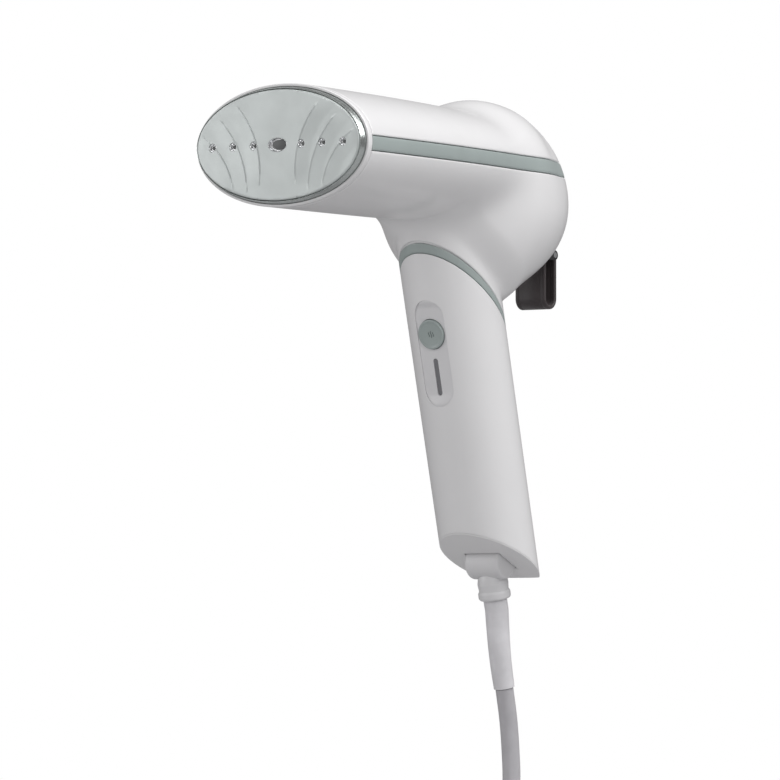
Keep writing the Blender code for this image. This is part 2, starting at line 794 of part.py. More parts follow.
def make_cord():
    """Mains cord: the drop, the stretch on the floor, the tied coil and the tail to the plug."""
    drop, run = split_route(smooth_route(CORD_ROUTE, 0.009), DROP_END)
    tube("cord_drop", drop, CORD_R, CORD_GREY, sides=3)
    tube("cord_run", run, CORD_R, CORD_GREY, sides=3)
    low = FLOOR_Z + COIL_LIFT
    high = low + COIL_HEIGHT
    outer = COIL_R + COIL_HALF_WIDTH
    inner = COIL_R - COIL_HALF_WIDTH
    centre = (COIL_CENTRE.x, COIL_CENTRE.y)
    ring = stack(
        ((outer, outer, low), (outer, outer, high), (inner, inner, high), (inner, inner, low)),
        48,
        centre,
        closed=True,
    )
    add_bmesh("cord_coil", ring, mat=CORD_GREY)
    tube("cord_tail", smooth_route(TAIL_ROUTE, 0.008), CORD_R, CORD_GREY, sides=3)
    make_tie(low, high)


def make_tie(low, high):
    """Strap around the rear of the coil."""
    middle = COIL_CENTRE.y + COIL_R
    x = (COIL_CENTRE.x - 0.006, COIL_CENTRE.x + 0.006)
    edge = COIL_HALF_WIDTH + GAP
    thick = 0.0012
    outside = (
        (middle - edge - thick - 0.0006, middle + edge + thick),
        (low - GAP - thick, high + GAP + thick),
    )
    inside = ((middle - edge - 0.0006, middle + edge), (low - GAP, high + GAP))
    tie = add_bmesh("cord_tie", box(x, *outside), mat=BLACK)
    wide = (x[0] - 0.01, x[1] + 0.01)
    cut(tie, add_bmesh("tie_hollow", box(wide, *inside), cutter=True))


def make_plug():
    """Round two-pin plug lying at the end of the cord's tail."""
    centre_x, start, axis_z = -0.1000, -0.0135, FLOOR_Z + PLUG_R + 0.0002
    profile = (
        (0.0055, 0.000),
        (0.0062, 0.012),
        (0.0110, 0.018),
        (0.0125, 0.030),
        (0.0165, 0.038),
        (PLUG_R, 0.040),
        (PLUG_R, 0.046),
    )
    body = turned(profile, 32)
    turn = Matrix.Translation((centre_x, start, axis_z)) @ Matrix.Rotation(-math.pi / 2, 4, "X")
    bmesh.ops.transform(body, matrix=turn, verts=body.verts)
    add_bmesh("plug_body", body, mat=CORD_GREY)
    face_y = start + 0.046 + GAP
    for side, name in ((-1, "left"), (1, "right")):
        x = centre_x + side * 0.0095
        pin = rod(0.0024, (x, face_y, axis_z), (x, face_y + 0.019, axis_z), 16)
        add_bmesh("plug_pin_" + name, pin, mat=CHROME)


# ---------------------------------------------------------------- assembly

clear_scene()
PARTS = make_collection(OBJECT_NAME)
CUTTERS = make_collection("cutters")

WHITE = make_material("white_plastic", (0.84, 0.84, 0.85), 0.28)
PALE = make_material("pale_plastic", (0.72, 0.72, 0.74), 0.35)
SAGE = make_material("sage_plastic", (0.34, 0.38, 0.37), 0.30)
STEEL = make_material("plate_metal", (0.42, 0.45, 0.44), 0.38, 0.6)
CHROME = make_material("polished_steel", (0.75, 0.75, 0.76), 0.15, 1.0)
CAST = make_material("cast_aluminium", (0.60, 0.60, 0.61), 0.50, 1.0)
COPPER = make_material("fuse_copper", (0.60, 0.35, 0.22), 0.35, 1.0)
RUBBER = make_material("silicone", (0.30, 0.29, 0.28), 0.70)
GREY = make_material("grey_nylon", (0.35, 0.35, 0.36), 0.50)
BLACK = make_material("black_plastic", (0.03, 0.03, 0.03), 0.45)
BROWN = make_material("dark_strap", (0.045, 0.037, 0.037), 0.55)
CLEAR = make_material("tank_plastic", (0.55, 0.62, 0.66), 0.15)
SMOKE = make_material("light_bar", (0.30, 0.30, 0.31), 0.25)
BOARD = make_material("circuit_board", (0.03, 0.16, 0.08), 0.45)
CORD_GREY = make_material("cord_grey", (0.50, 0.49, 0.51), 0.50)

HANDLE = tilted_frame("handle_axis", (0, 0, 0), -HANDLE_TILT)
NECK = tilted_frame("neck_axis", SEAM, NECK_TILT)
TANK = tilted_frame("tank_axis", DRUM_CENTRE, TANK_TILT)
BAND = tilted_frame("band_axis", BAND_START, BAND_TILT)
BOTTOM = tilted_frame(
    "bottom_axis",
    Vector((0, math.sin(HANDLE_TILT), -math.cos(HANDLE_TILT))) * BOTTOM_DEPTH,
    BOTTOM_TILT - HANDLE_TILT,
)

make_housings()
make_plate()
make_boiler()
make_pump()
make_tank()
make_hanging_loop()
make_neck_joint()
make_handle_shell()
make_controls()
make_board()
make_bottom()
make_swivel()
make_strain_relief()
make_cord()
make_plug()
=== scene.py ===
"""Looks of a handheld garment steamer, built round its CAD frame. Metres, +Z up, head along -Y."""

import json
import math

import bmesh
import bpy
import numpy as np
from mathutils import Matrix, Vector
from mathutils.geometry import delaunay_2d_cdt


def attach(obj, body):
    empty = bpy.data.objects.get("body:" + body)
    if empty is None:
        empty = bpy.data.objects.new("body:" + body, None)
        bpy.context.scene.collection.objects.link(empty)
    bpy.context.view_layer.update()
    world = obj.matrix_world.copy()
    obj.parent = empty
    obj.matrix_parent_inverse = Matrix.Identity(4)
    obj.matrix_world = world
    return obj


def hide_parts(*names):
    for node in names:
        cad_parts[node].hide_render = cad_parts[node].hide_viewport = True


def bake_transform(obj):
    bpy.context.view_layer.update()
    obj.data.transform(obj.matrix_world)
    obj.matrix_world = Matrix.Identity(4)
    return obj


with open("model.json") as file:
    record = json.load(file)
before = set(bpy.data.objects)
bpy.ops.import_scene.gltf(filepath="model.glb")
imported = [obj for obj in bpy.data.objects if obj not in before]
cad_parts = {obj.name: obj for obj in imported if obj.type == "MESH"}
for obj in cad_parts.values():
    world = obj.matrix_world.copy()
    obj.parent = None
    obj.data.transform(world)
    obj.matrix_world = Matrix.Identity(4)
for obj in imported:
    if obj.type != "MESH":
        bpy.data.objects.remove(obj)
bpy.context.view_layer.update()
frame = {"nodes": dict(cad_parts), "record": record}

NODES = frame["nodes"]
GAP = 0.0003

# Handle and neck.
HANDLE_TILT = math.radians(13.7)
HANDLE_RX = 0.0213
HANDLE_RY = 0.0206
SEAM_HEIGHT = 0.0576
NECK_TILT = math.radians(37.8)
RING_HEIGHT = 0.0029
BOTTOM_DEPTH = 0.0573
BOTTOM_TILT = math.radians(38.6)
TIP_Z = -0.063
HANDLE_AXIS = Vector((0, -math.sin(HANDLE_TILT), math.cos(HANDLE_TILT)))
SEAM = HANDLE_AXIS * SEAM_HEIGHT

# Head.
BARREL_Z = 0.1167
BARREL_FRONT = -0.1345
DRUM_CENTRE = Vector((0, -0.0013, 0.099))
DRUM_SIDE = 0.0395
DRUM_FRONT, DRUM_REAR = 0.0325, 0.0493
DRUM_DOWN, DRUM_UP = 0.039, 0.045
DRUM_FILLET = 0.014
NECK_FILLET = 0.028
COLUMN_TOP = 0.105
TANK_TILT = math.radians(62.0)
TANK_SEAM = 0.0319
BAND_START = Vector((0, 0.01, 0.1111))
BAND_WIDTH = 0.0065
BAND_TILT = math.radians(0.65)
LOOP_Y = 0.049
LOOP_Z = 0.079
SHELL = 0.0016
EDGE = 0.0006

# Steam plate.
PLATE_RX = 0.0424
PLATE_RZ = 0.0233
FACE = 0.1407
PLATE_LIP = 0.0006
HOLE_SPACING = 0.0108
HOLE_SHIFT = 0.0017
BEZEL_RX = 0.0452
BEZEL_RZ = 0.026
HOLE_R = 0.0019
CENTRE_HOLE = (0.005, 0.003)

# Controls, heights along the handle's own axis.
PANEL_Y = -0.019
PANEL_W = 0.015
PANEL_LOW = 0.0156
PANEL_TOP = 0.0625
BUTTON_Z = 0.0473
BUTTON_R = 0.0065
SLOT_W = 0.0024
LIGHT_LOW = 0.0204
LIGHT_TOP = 0.0364

# Swivel and cord.
KNUCKLE_R = 0.0072
KNUCKLE_HALF = 0.0089
KNUCKLE_Z = -0.0583
CORD_R = 0.004
FLOOR_Z = -0.205
CORD_Z = FLOOR_Z + CORD_R + 0.0001
COIL_CENTRE = Vector((-0.05, -0.06, 0))
COIL_R = 0.046
PLUG_R = 0.0172


# ---- helpers


def linked(name, data):
    """New object in the scene."""
    obj = bpy.data.objects.new(name, data)
    bpy.context.scene.collection.objects.link(obj)
    return obj


def add_object(name, data, body, slot, replaced=None, look=None):
    """Put a finished piece in the scene on its body, in its slot's material or another look."""
    obj = linked(name, data)
    data.materials.clear()
    data.materials.append(MATERIALS[look or slot])
    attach(obj, body)
    if replaced:
        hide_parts(replaced)
    return obj


def finish_mesh(name, bm, angle=35.0, matrix=None):
    """Mesh from a bmesh, smooth except at edges sharper than the angle."""
    bmesh.ops.recalc_face_normals(bm, faces=bm.faces)
    if matrix is not None:
        bmesh.ops.transform(bm, matrix=matrix, verts=bm.verts)
    mesh = bpy.data.meshes.new(name)
    bm.to_mesh(mesh)
    bm.free()
    mesh.shade_smooth()
    mesh.set_sharp_from_angle(angle=math.radians(angle))
    return mesh


def finish_merged(name, pieces, angle, matrix):
    """One mesh from several closed bmeshes."""
    whole = bmesh.new()
    for piece in pieces:
        part = bpy.data.meshes.new("part")
        piece.to_mesh(part)
        piece.free()
        whole.from_mesh(part)
        bpy.data.meshes.remove(part)
    return finish_mesh(name, whole, angle, matrix)


def tilted(origin, tilt):
    """Frame whose Z axis leans towards +Y by the tilt."""
    return Matrix.Translation(origin) @ Matrix.Rotation(-tilt, 4, "X")


HANDLE = tilted((0, 0, 0), -HANDLE_TILT)
NECK = tilted(SEAM, NECK_TILT)
NECK_NORMAL = Vector((0, math.sin(NECK_TILT), math.cos(NECK_TILT)))
BOTTOM = tilted(-HANDLE_AXIS * BOTTOM_DEPTH, BOTTOM_TILT - HANDLE_TILT)
PLATE = Matrix.Translation((0, 0, BARREL_Z)) @ Matrix.Rotation(math.pi / 2, 4, "X")
GRIP_FRONT = HANDLE @ Matrix.Rotation(math.pi / 2, 4, "X")
KNUCKLE = HANDLE @ Matrix.Translation((0, 0, KNUCKLE_Z))


def ellipse_points(rx, ry, count, centre=(0, 0)):
    """Flat points evenly round an ellipse."""
    turns = (2 * math.pi * i / count for i in range(count))
    return [(centre[0] + rx * math.cos(t), centre[1] + ry * math.sin(t)) for t in turns]


def skin_rings(rings, closed=False):
    """Skin a row of equal rings, capped at the ends or closed into a hoop."""
    bm = bmesh.new()
    rows = [[bm.verts.new(p) for p in ring] for ring in rings]
    pairs = list(zip(rows, rows[1:]))
    if closed:
        pairs.append((rows[-1], rows[0]))
    else:
        bm.faces.new(rows[0])
        bm.faces.new(rows[-1])
    for low, high in pairs:
        for i in range(len(low)):
            j = (i + 1) % len(low)
            bm.faces.new((low[i], low[j], high[j], high[i]))
    return bm


def oval_stack(rows, segments, closed=False):
    """Skin of ellipses from (rx, ry, z) rows."""
    rings = [[(*p, z) for p in ellipse_points(rx, ry, segments)] for rx, ry, z in rows]
    return skin_rings(rings, closed)


def rounded(rows, radius, steps=4, closed=False):
    """(rx, ry, z) rows with each corner replaced by a short arc of about the radius."""
    points = [Vector(row) for row in rows]
    result = []
    count = len(points)
    for i, point in enumerate(points):
        if not closed and i in (0, count - 1):
            result.append(tuple(point))
            continue
        before = points[i - 1] - point
        after = points[(i + 1) % count] - point
        reach = min(radius, before.length * 0.45, after.length * 0.45)
        start = point + before.normalized() * reach
        end = point + after.normalized() * reach
        for k in range(steps + 1):
            t = k / steps
            result.append(tuple(start * (1 - t) ** 2 + 2 * point * t * (1 - t) + end * t**2))
    return result


def turned(rows, radius, steps=4, segments=64, closed=False):
    """Round solid, or hoop, of (radius, z) rows with softened corners."""
    rows = rounded([(r, r, z) for r, z in rows], radius, steps, closed)
    return oval_stack(rows, segments, closed)


def smooth_route(route, spacing):
    """Points about `spacing` apart on a Catmull-Rom curve through the route."""
    knots = [Vector(p) for p in route]
    ends = [2 * knots[0] - knots[1], *knots, 2 * knots[-1] - knots[-2]]
    points = [knots[0]]
    for a, b, c, d in zip(ends, ends[1:], ends[2:], ends[3:]):
        steps = max(1, round((c - b).length / spacing))
        for i in range(1, steps + 1):
            t = i / steps
            bend = 2 * a - 5 * b + 4 * c - d
            twist = 3 * b - a - 3 * c + d
            points.append(0.5 * (2 * b + (c - a) * t + bend * t**2 + twist * t**3))
    return points


# ---- camera and light


def make_camera():
    """Long lens from the front right, looking slightly up at the middle of the handle's top."""
    azimuth, pitch, distance = math.radians(36.0), math.radians(2.2), 3.0
    side, depth = math.cos(azimuth), math.sin(azimuth)
    back = Vector((depth * math.cos(pitch), -side * math.cos(pitch), -math.sin(pitch)))
    target = Vector((side, depth, 0)) * -0.0355 + Vector((0, 0, 0.0183))
    data = bpy.data.cameras.new("camera")
    data.lens = 318.5
    data.sensor_width = 36.0
    data.clip_end = 30
    camera = linked("camera", data)
    camera.location = target + back * distance
    camera.rotation_euler = back.to_track_quat("Z", "Y").to_euler()
    bpy.context.scene.camera = camera


def area_light(name, place, size, power):
    """White rectangular light aimed at the neck."""
    data = bpy.data.lights.new(name, "AREA")
    data.shape = "RECTANGLE"
    data.size, data.size_y = size
    data.energy = power
    light = linked(name, data)
    light.location = place
    aim = Vector((0, 0, 0.06))
    light.rotation_euler = (Vector(place) - aim).to_track_quat("Z", "Y").to_euler()
    light.visible_camera = False


def make_light():
    """White studio: a bright backdrop, a large soft source above and three panels."""
    scene = bpy.context.scene
    scene.view_settings.view_transform = "Standard"
    world = bpy.data.worlds.new("studio")
    world.use_nodes = True
    scene.world = world
    nodes, links = world.node_tree.nodes, world.node_tree.links
    nodes.clear()
    output = nodes.new("ShaderNodeOutputWorld")
    mix = nodes.new("ShaderNodeMixShader")
    path = nodes.new("ShaderNodeLightPath")
    links.new(path.outputs["Is Camera Ray"], mix.inputs[0])
    ambient, backdrop = ((1.0, 0.985, 1.0, 1), 0.24), ((1, 1, 1, 1), 1.0)
    for socket, (color, strength) in ((1, ambient), (2, backdrop)):
        shader = nodes.new("ShaderNodeBackground")
        shader.inputs["Color"].default_value = color
        shader.inputs["Strength"].default_value = strength
        links.new(shader.outputs[0], mix.inputs[socket])
    links.new(mix.outputs[0], output.inputs["Surface"])
    area_light("overhead", (-0.1, -0.2, 1.5), (1.2, 1.2), 6)
    area_light("key_panel", (0.95, 0.1, 1.1), (0.45, 1.3), 15)
    area_light("front_panel", (1.4, -1.6, 0.7), (0.9, 1.4), 11)
    area_light("left_panel", (-1.2, -1.2, 0.45), (0.6, 1.2), 6)


def make_floor():
    """Pale round floor under the stored cord."""
    bm = bmesh.new()
    bmesh.ops.create_circle(bm, cap_ends=True, segments=96, radius=1.5)
    mesh = finish_mesh("floor", bm, matrix=Matrix.Translation((0, 0, FLOOR_Z - 0.0005)))
    floor = linked("floor", mesh)
    mesh.materials.append(plastic("floor_paper", (0.46, 0.46, 0.465), 0.7, grain=0.0))


# ---- materials


MATERIALS = {}


def new_material(name, color, roughness, metallic=0.0, **sockets):
    """Principled material; extra sockets are constants by their names with underscores."""
    mat = MATERIALS[name] = bpy.data.materials.new(name)
    mat.use_nodes = True
    shader = mat.node_tree.nodes["Principled BSDF"]
    shader.inputs["Base Color"].default_value = (*color, 1)
    shader.inputs["Roughness"].default_value = roughness
    shader.inputs["Metallic"].default_value = metallic
    for key, value in sockets.items():
        shader.inputs[key.replace("_", " ")].default_value = value
    mat.diffuse_color = (*color, 1)
    return mat


def texture(mat, kind, scale, **settings):
    """Procedural texture in object coordinates; the scale is in features per metre."""
    nodes, links = mat.node_tree.nodes, mat.node_tree.links
    place = nodes.new("ShaderNodeTexCoord")
    tex = nodes.new(kind)
    tex.inputs["Scale"].default_value = scale
    for key, value in settings.items():
        tex.inputs[key.replace("_", " ")].default_value = value
    links.new(place.outputs["Object"], tex.inputs["Vector"])
    return tex


def vary_roughness(mat, source, low, high):
    """Roughness between low and high, driven by a texture's 0 to 1 output."""
    nodes, links = mat.node_tree.nodes, mat.node_tree.links
    ramp = nodes.new("ShaderNodeMapRange")
    ramp.inputs["From Min"].default_value = 0.25
    ramp.inputs["From Max"].default_value = 0.75
    ramp.inputs["To Min"].default_value = low
    ramp.inputs["To Max"].default_value = high
    links.new(source, ramp.inputs["Value"])
    links.new(ramp.outputs["Result"], nodes["Principled BSDF"].inputs["Roughness"])


def vary_color(mat, source, dark, light):
    """Base colour between two shades, driven by a texture."""
    nodes, links = mat.node_tree.nodes, mat.node_tree.links
    ramp = nodes.new("ShaderNodeValToRGB")
    ramp.color_ramp.elements[0].position = 0.3
    ramp.color_ramp.elements[1].position = 0.7
    ramp.color_ramp.elements[0].color = (*dark, 1)
    ramp.color_ramp.elements[1].color = (*light, 1)
    links.new(source, ramp.inputs["Fac"])
    links.new(ramp.outputs["Color"], nodes["Principled BSDF"].inputs["Base Color"])


def add_bump(mat, source, depth):
    """Relief of the given depth in metres; calls stack on each other."""
    nodes, links = mat.node_tree.nodes, mat.node_tree.links
    normal = nodes["Principled BSDF"].inputs["Normal"]
    bump = nodes.new("ShaderNodeBump")
    bump.inputs["Distance"].default_value = depth
    bump.inputs["Strength"].default_value = 1.0
    links.new(source, bump.inputs["Height"])
    if normal.is_linked:
        links.new(normal.links[0].from_socket, bump.inputs["Normal"])
    links.new(bump.outputs["Normal"], normal)


def shade(color, factor):
    return tuple(min(1.0, channel * factor) for channel in color)


def plastic(name, color, roughness, grain=1.0, contrast=0.02, **sockets):
    """Moulded plastic: faint cloudiness, an uneven sheen and a very fine spark-eroded grain."""
    mat = new_material(name, color, roughness, **sockets)
    cloud = texture(mat, "ShaderNodeTexNoise", 55, Detail=3)
    vary_color(mat, cloud.outputs["Fac"], shade(color, 1 - contrast), shade(color, 1 + contrast))
    patch = texture(mat, "ShaderNodeTexNoise", 240, Detail=4)
    vary_roughness(mat, patch.outputs["Fac"], roughness - 0.012, roughness + 0.012)
    fine = texture(mat, "ShaderNodeTexNoise", 5200, Detail=2)
    add_bump(mat, fine.outputs["Fac"], 0.000004 * grain)
    return mat


def metal(name, color, roughness, depth=0.000004, metallic=1.0):
    """Metal with fine marks and faint patches."""
    mat = new_material(name, color, roughness, metallic)
    marks = texture(mat, "ShaderNodeTexNoise", 3000, Detail=3)
    vary_roughness(mat, marks.outputs["Fac"], roughness * 0.8, roughness * 1.25)
    add_bump(mat, marks.outputs["Fac"], depth)
    patch = texture(mat, "ShaderNodeTexNoise", 90, Detail=2)
    vary_color(mat, patch.outputs["Fac"], shade(color, 0.94), shade(color, 1.04))
    return mat


def rubber(name, color, roughness, pitch=2600, depth=0.000012):
    """Rubber or soft PVC: matt, with a pebbled skin and slightly dusty patches."""
    mat = new_material(name, color, roughness, Sheen_Weight=0.15, Sheen_Roughness=0.5)
    dust = texture(mat, "ShaderNodeTexNoise", 120, Detail=4)
    vary_color(mat, dust.outputs["Fac"], shade(color, 0.93), shade(color, 1.07))
    vary_roughness(mat, dust.outputs["Fac"], roughness - 0.06, roughness + 0.06)
    pebble = texture(mat, "ShaderNodeTexVoronoi", pitch)
    add_bump(mat, pebble.outputs["Distance"], depth)
    return mat


def make_materials():
    """A material for each of the record's slots, then the looks that share a slot."""
    plastic(
        "white_plastic", (0.81, 0.805, 0.81), 0.26, grain=0.1, contrast=0.008, Coat_Weight=0.15
    )
    plastic("pale_plastic", (0.72, 0.715, 0.725), 0.36)
    plastic("sage_plastic", (0.36, 0.41, 0.4), 0.32, contrast=0.04)
    metal("plate_metal", (0.62, 0.66, 0.65), 0.38, metallic=0.3)
    metal("polished_steel", (0.78, 0.79, 0.8), 0.19, depth=0.000001)
    metal("cast_aluminium", (0.55, 0.55, 0.56), 0.5, depth=0.00003)
    metal("fuse_copper", (0.6, 0.33, 0.2), 0.35)
    rubber("silicone", (0.28, 0.27, 0.26), 0.62)
    plastic("grey_nylon", (0.3, 0.3, 0.31), 0.48, grain=2.0, contrast=0.05)
    plastic("black_plastic", (0.022, 0.022, 0.023), 0.42, contrast=0.15)
    rubber("dark_strap", (0.036, 0.028, 0.029), 0.5, pitch=1900)
    plastic(
        "tank_plastic", (0.62, 0.7, 0.74), 0.12, grain=0.5, Transmission_Weight=0.7, IOR=1.45
    )
    plastic("light_bar", (0.19, 0.19, 0.2), 0.22, contrast=0.05)
    plastic("circuit_board", (0.02, 0.12, 0.06), 0.4, contrast=0.25)
    rubber("cord_grey", (0.5, 0.49, 0.51), 0.46)
    plastic("mark_ink", (0.15, 0.18, 0.175), 0.4, contrast=0.05)
    # Painted shade: dark colour of the domes in the steam holes, standing in for the shade inside
    # the holes.
    rubber("hole_shade", (0.11, 0.115, 0.115), 0.45)
    # Painted shade: a darker copy of polished steel for the rim, standing in for its darker
    # reflections.
    metal("rim_steel_shaded", (0.52, 0.55, 0.54), 0.24, depth=0.000001)
    rubber("cord_sleeve", (0.74, 0.73, 0.75), 0.42)


# ---- head skin


def smooth_fade(value):
    value = np.clip(value, 0, 1)
    return value * value * (3 - 2 * value)


def oval_distance(u, v, a, b):
    """Signed distance, nearly, from an ellipse of radii a and b."""
    near = np.sqrt((u / a) ** 2 + (v / b) ** 2)
    slope = np.sqrt((u / a**2) ** 2 + (v / b**2) ** 2)
    return near * (near - 1) / np.maximum(slope, 1e-9)


def melt(first, second, reach):
    """Union of two distances with a rounded inner corner of about the reach."""
    h = np.maximum(reach - np.abs(first - second), 0) / reach
    return np.minimum(first, second) - h**3 * reach / 6


def barrel_distance(p):
    """The barrel's gently tapering oval, with a rounded end hidden in the drum."""
    x, y, z = p.T
    # The taper runs from the bezel, where t is 0, to the drum, where it is 1.
    t = np.clip((y - BARREL_FRONT) / -BARREL_FRONT, 0, 1.2)
    side = BEZEL_RX - 0.0092 * t**3
    rise = BEZEL_RZ - 0.0008 * t - 0.0016 * t**3
    height = BARREL_Z - 0.0022 * t - 0.0005 * t**2
    return -melt(-oval_distance(x, z - height, side, rise), 0.006 - y, 0.012)


def drum_distance(p):
    """The drum: an ovoid, longer to the rear and deeper above its middle."""
    q = p - np.array(DRUM_CENTRE)
    reach = np.empty_like(q)
    reach[:, 0] = DRUM_SIDE
    reach[:, 1] = np.where(q[:, 1] > 0, DRUM_REAR, DRUM_FRONT)
    reach[:, 2] = np.where(q[:, 2] > 0, DRUM_UP, DRUM_DOWN)
    near = np.sqrt(((q / reach) ** 2).sum(1))
    slope = np.sqrt(((q / reach**2) ** 2).sum(1))
    return near * (near - 1) / np.maximum(slope, 1e-9)


def head_distance(p):
    """The head's form: barrel, drum and neck melted together above the seam ring."""
    tilt_cos, tilt_sin = math.cos(HANDLE_TILT), math.sin(HANDLE_TILT)
    across = p[:, 1] * tilt_cos + p[:, 2] * tilt_sin
    along = -p[:, 1] * tilt_sin + p[:, 2] * tilt_cos
    column = np.maximum(oval_distance(p[:, 0], across, HANDLE_RX, HANDLE_RY), along - COLUMN_TOP)
    over_ring = (p - np.array(SEAM)) @ np.array(NECK_NORMAL) - RING_HEIGHT
    grown = smooth_fade(over_ring / 0.016)
    body = melt(barrel_distance(p), drum_distance(p), DRUM_FILLET)
    return melt(body, column, 0.0015 + NECK_FILLET * grown)


def slope_of(p, step=0.00005):
    """Gradient of the head's distance, by central differences."""
    slope = np.empty_like(p)
    for axis in range(3):
        shift = np.zeros(3)
        shift[axis] = step
        slope[:, axis] = (head_distance(p + shift) - head_distance(p - shift)) / (2 * step)
    return slope


def settle(p):
    """Move points onto the head's surface."""
    for _ in range(4):
        slope = slope_of(p)
        size = np.maximum((slope**2).sum(1), 0.05)
        p = p - slope * (head_distance(p) / size)[:, None]
    return p


def surface_net(low, high, cell):
    """Quads around the zero level of head_distance on a grid of cells."""
    axes = [np.arange(a, b, cell) for a, b in zip(low, high)]
    grid = np.stack(np.meshgrid(*axes, indexing="ij"), -1)
    shape = grid.shape[:3]
    values = head_distance(grid.reshape(-1, 3)).reshape(shape)
    total = np.zeros(tuple(n - 1 for n in shape) + (3,))
    count = np.zeros(tuple(n - 1 for n in shape))
    edges = []
    for axis in range(3):
        first = [slice(None)] * 3
        second = [slice(None)] * 3
        first[axis] = slice(0, -1)
        second[axis] = slice(1, None)
        a, b = values[tuple(first)], values[tuple(second)]
        crossed = (a < 0) != (b < 0)
        share = np.where(crossed, a / np.where(crossed, a - b, 1), 0)
        point = grid[tuple(first)].copy()
        point[..., axis] += share * cell
        edges.append((axis, crossed, a < 0))
        others = [k for k in range(3) if k != axis]
        for i in (0, 1):
            for j in (0, 1):
                take = [slice(None)] * 3
                take[others[0]] = slice(i, i + total.shape[others[0]])
                take[others[1]] = slice(j, j + total.shape[others[1]])
                hit = crossed[tuple(take)]
                total += np.where(hit[..., None], point[tuple(take)], 0)
                count += hit
    used = count > 0
    index = np.full(count.shape, -1)
    index[used] = np.arange(used.sum())
    verts = total[used] / count[used][:, None]
    faces = []
    for axis, crossed, inside in edges:
        one, two = [(axis + 1) % 3, (axis + 2) % 3]
        where = np.argwhere(crossed)
        keep = (where[:, one] > 0) & (where[:, two] > 0)
        keep &= (where[:, one] < shape[one] - 1) & (where[:, two] < shape[two] - 1)
        where = where[keep]
        corner = []
        for i, j in ((1, 1), (0, 1), (0, 0), (1, 0)):
            at = where.copy()
            at[:, one] -= i
            at[:, two] -= j
            corner.append(index[tuple(at.T)])
        quad = np.stack(corner, 1)
        flip = ~inside[tuple(where.T)]
        quad[flip] = quad[flip][:, ::-1]
        faces.append(quad)
    return verts, np.concatenate(faces)


def plane_cut(bm, faces, point, normal, clear):
    """Cut the given faces on a plane; clear drops what lies behind the normal."""
    edges = {e for f in faces for e in f.edges}
    verts = {v for f in faces for v in f.verts}
    bmesh.ops.bisect_plane(
        bm,
        geom=[*faces, *edges, *verts],
        plane_co=point,
        plane_no=normal,
        clear_inner=clear,
        dist=1e-7,
    )


def near_neck(p):
    """True where the neck leaves the head, well below the barrel."""
    return p[2] < 0.083 and p[1] > -0.045


def trimmed_net(net, planes, neck_plane):
    """The net cut on its planes, with close rows of edges along each cut for its rounding."""
    verts, faces = net
    bm = bmesh.new()
    made = [bm.verts.new(v) for v in verts]
    for face in faces:
        bm.faces.new([made[i] for i in face])
    for depth in (0, 0.2 * EDGE, 0.5 * EDGE, EDGE):
        for point, normal in planes:
            plane_cut(bm, bm.faces[:], point + normal * depth, normal, depth == 0)
        if neck_plane:
            point, normal = neck_plane
            low = [f for f in bm.faces if near_neck(f.calc_center_median())]
            plane_cut(bm, low, point + normal * depth, normal, depth == 0)
    bm.verts.index_update()
    p = np.array([v.co for v in bm.verts])
    quads = [[v.index for v in f.verts] for f in bm.faces]
    borders = [tuple(v.index for v in e.verts) for e in bm.edges if len(e.link_faces) == 1]
    bm.free()
    return p, quads, borders


def head_shell(name, net, planes, neck_cut=False):
    """Cover of the head inside some planes: rounded cut edges and a real wall thickness.

    Each plane is (point, normal), and the cover lies on its normal's side.
    """
    neck_plane = (SEAM + NECK_NORMAL * (RING_HEIGHT + GAP / 2), NECK_NORMAL) if neck_cut else None
    p, quads, borders = trimmed_net(net, planes, neck_plane)
    normals = slope_of(p)
    normals /= np.linalg.norm(normals, axis=1)[:, None]
    round_in = np.zeros(len(p))
    inward = -normals * SHELL
    for plane in [*planes, neck_plane]:
        if not plane:
            continue
        point, normal = np.array(plane[0]), np.array(plane[1])
        far = (p - point) @ normal
        if plane is neck_plane:
            far[~np.array([near_neck(q) for q in p])] = 1.0
        step = np.clip(EDGE - far, 0, EDGE)
        round_in = np.maximum(round_in, EDGE - np.sqrt(np.maximum(EDGE**2 - step**2, 0)))
        along = np.clip(1 - far / SHELL, 0, 1) * (inward @ normal)
        inward -= along[:, None] * normal
    outer = p - normals * round_in[:, None]
    count = len(p)
    facing = {(a, b) for quad in quads for a, b in zip(quad, quad[1:] + quad[:1])}
    walls = [(b, a) if (a, b) in facing else (a, b) for a, b in borders]
    every = quads + [[i + count for i in reversed(quad)] for quad in quads]
    every += [[a, b, b + count, a + count] for a, b in walls]
    mesh = bpy.data.meshes.new(name)
    mesh.from_pydata(np.concatenate((outer, p + inward)).tolist(), [], every)
    mesh.validate()
    mesh.shade_smooth()
    mesh.set_sharp_from_angle(angle=math.radians(50))
    return mesh


def cut_out(mesh, *cutters):
    """Subtract closed meshes from a mesh for good."""
    holder = linked("holder", mesh)
    tools = []
    for cutter in cutters:
        tool = linked("tool", cutter)
        step = holder.modifiers.new("cut", "BOOLEAN")
        step.operation = "DIFFERENCE"
        step.solver = "EXACT"
        step.object = tool
        tools.append(tool)
    bpy.context.view_layer.update()
    graph = bpy.context.evaluated_depsgraph_get()
    result = bpy.data.meshes.new_from_object(holder.evaluated_get(graph))
    for obj in (holder, *tools):
        bpy.data.objects.remove(obj)
    result.shade_smooth()
    result.set_sharp_from_angle(angle=math.radians(40))
    return result


def tip_block(lift=0.0):
    """Block below the level that trims the grip's lowest point."""
    bm = bmesh.new()
    bmesh.ops.create_cube(bm, size=0.2, matrix=Matrix.Translation((0, 0, TIP_Z + lift - 0.1)))
    return finish_mesh("tip", bm)


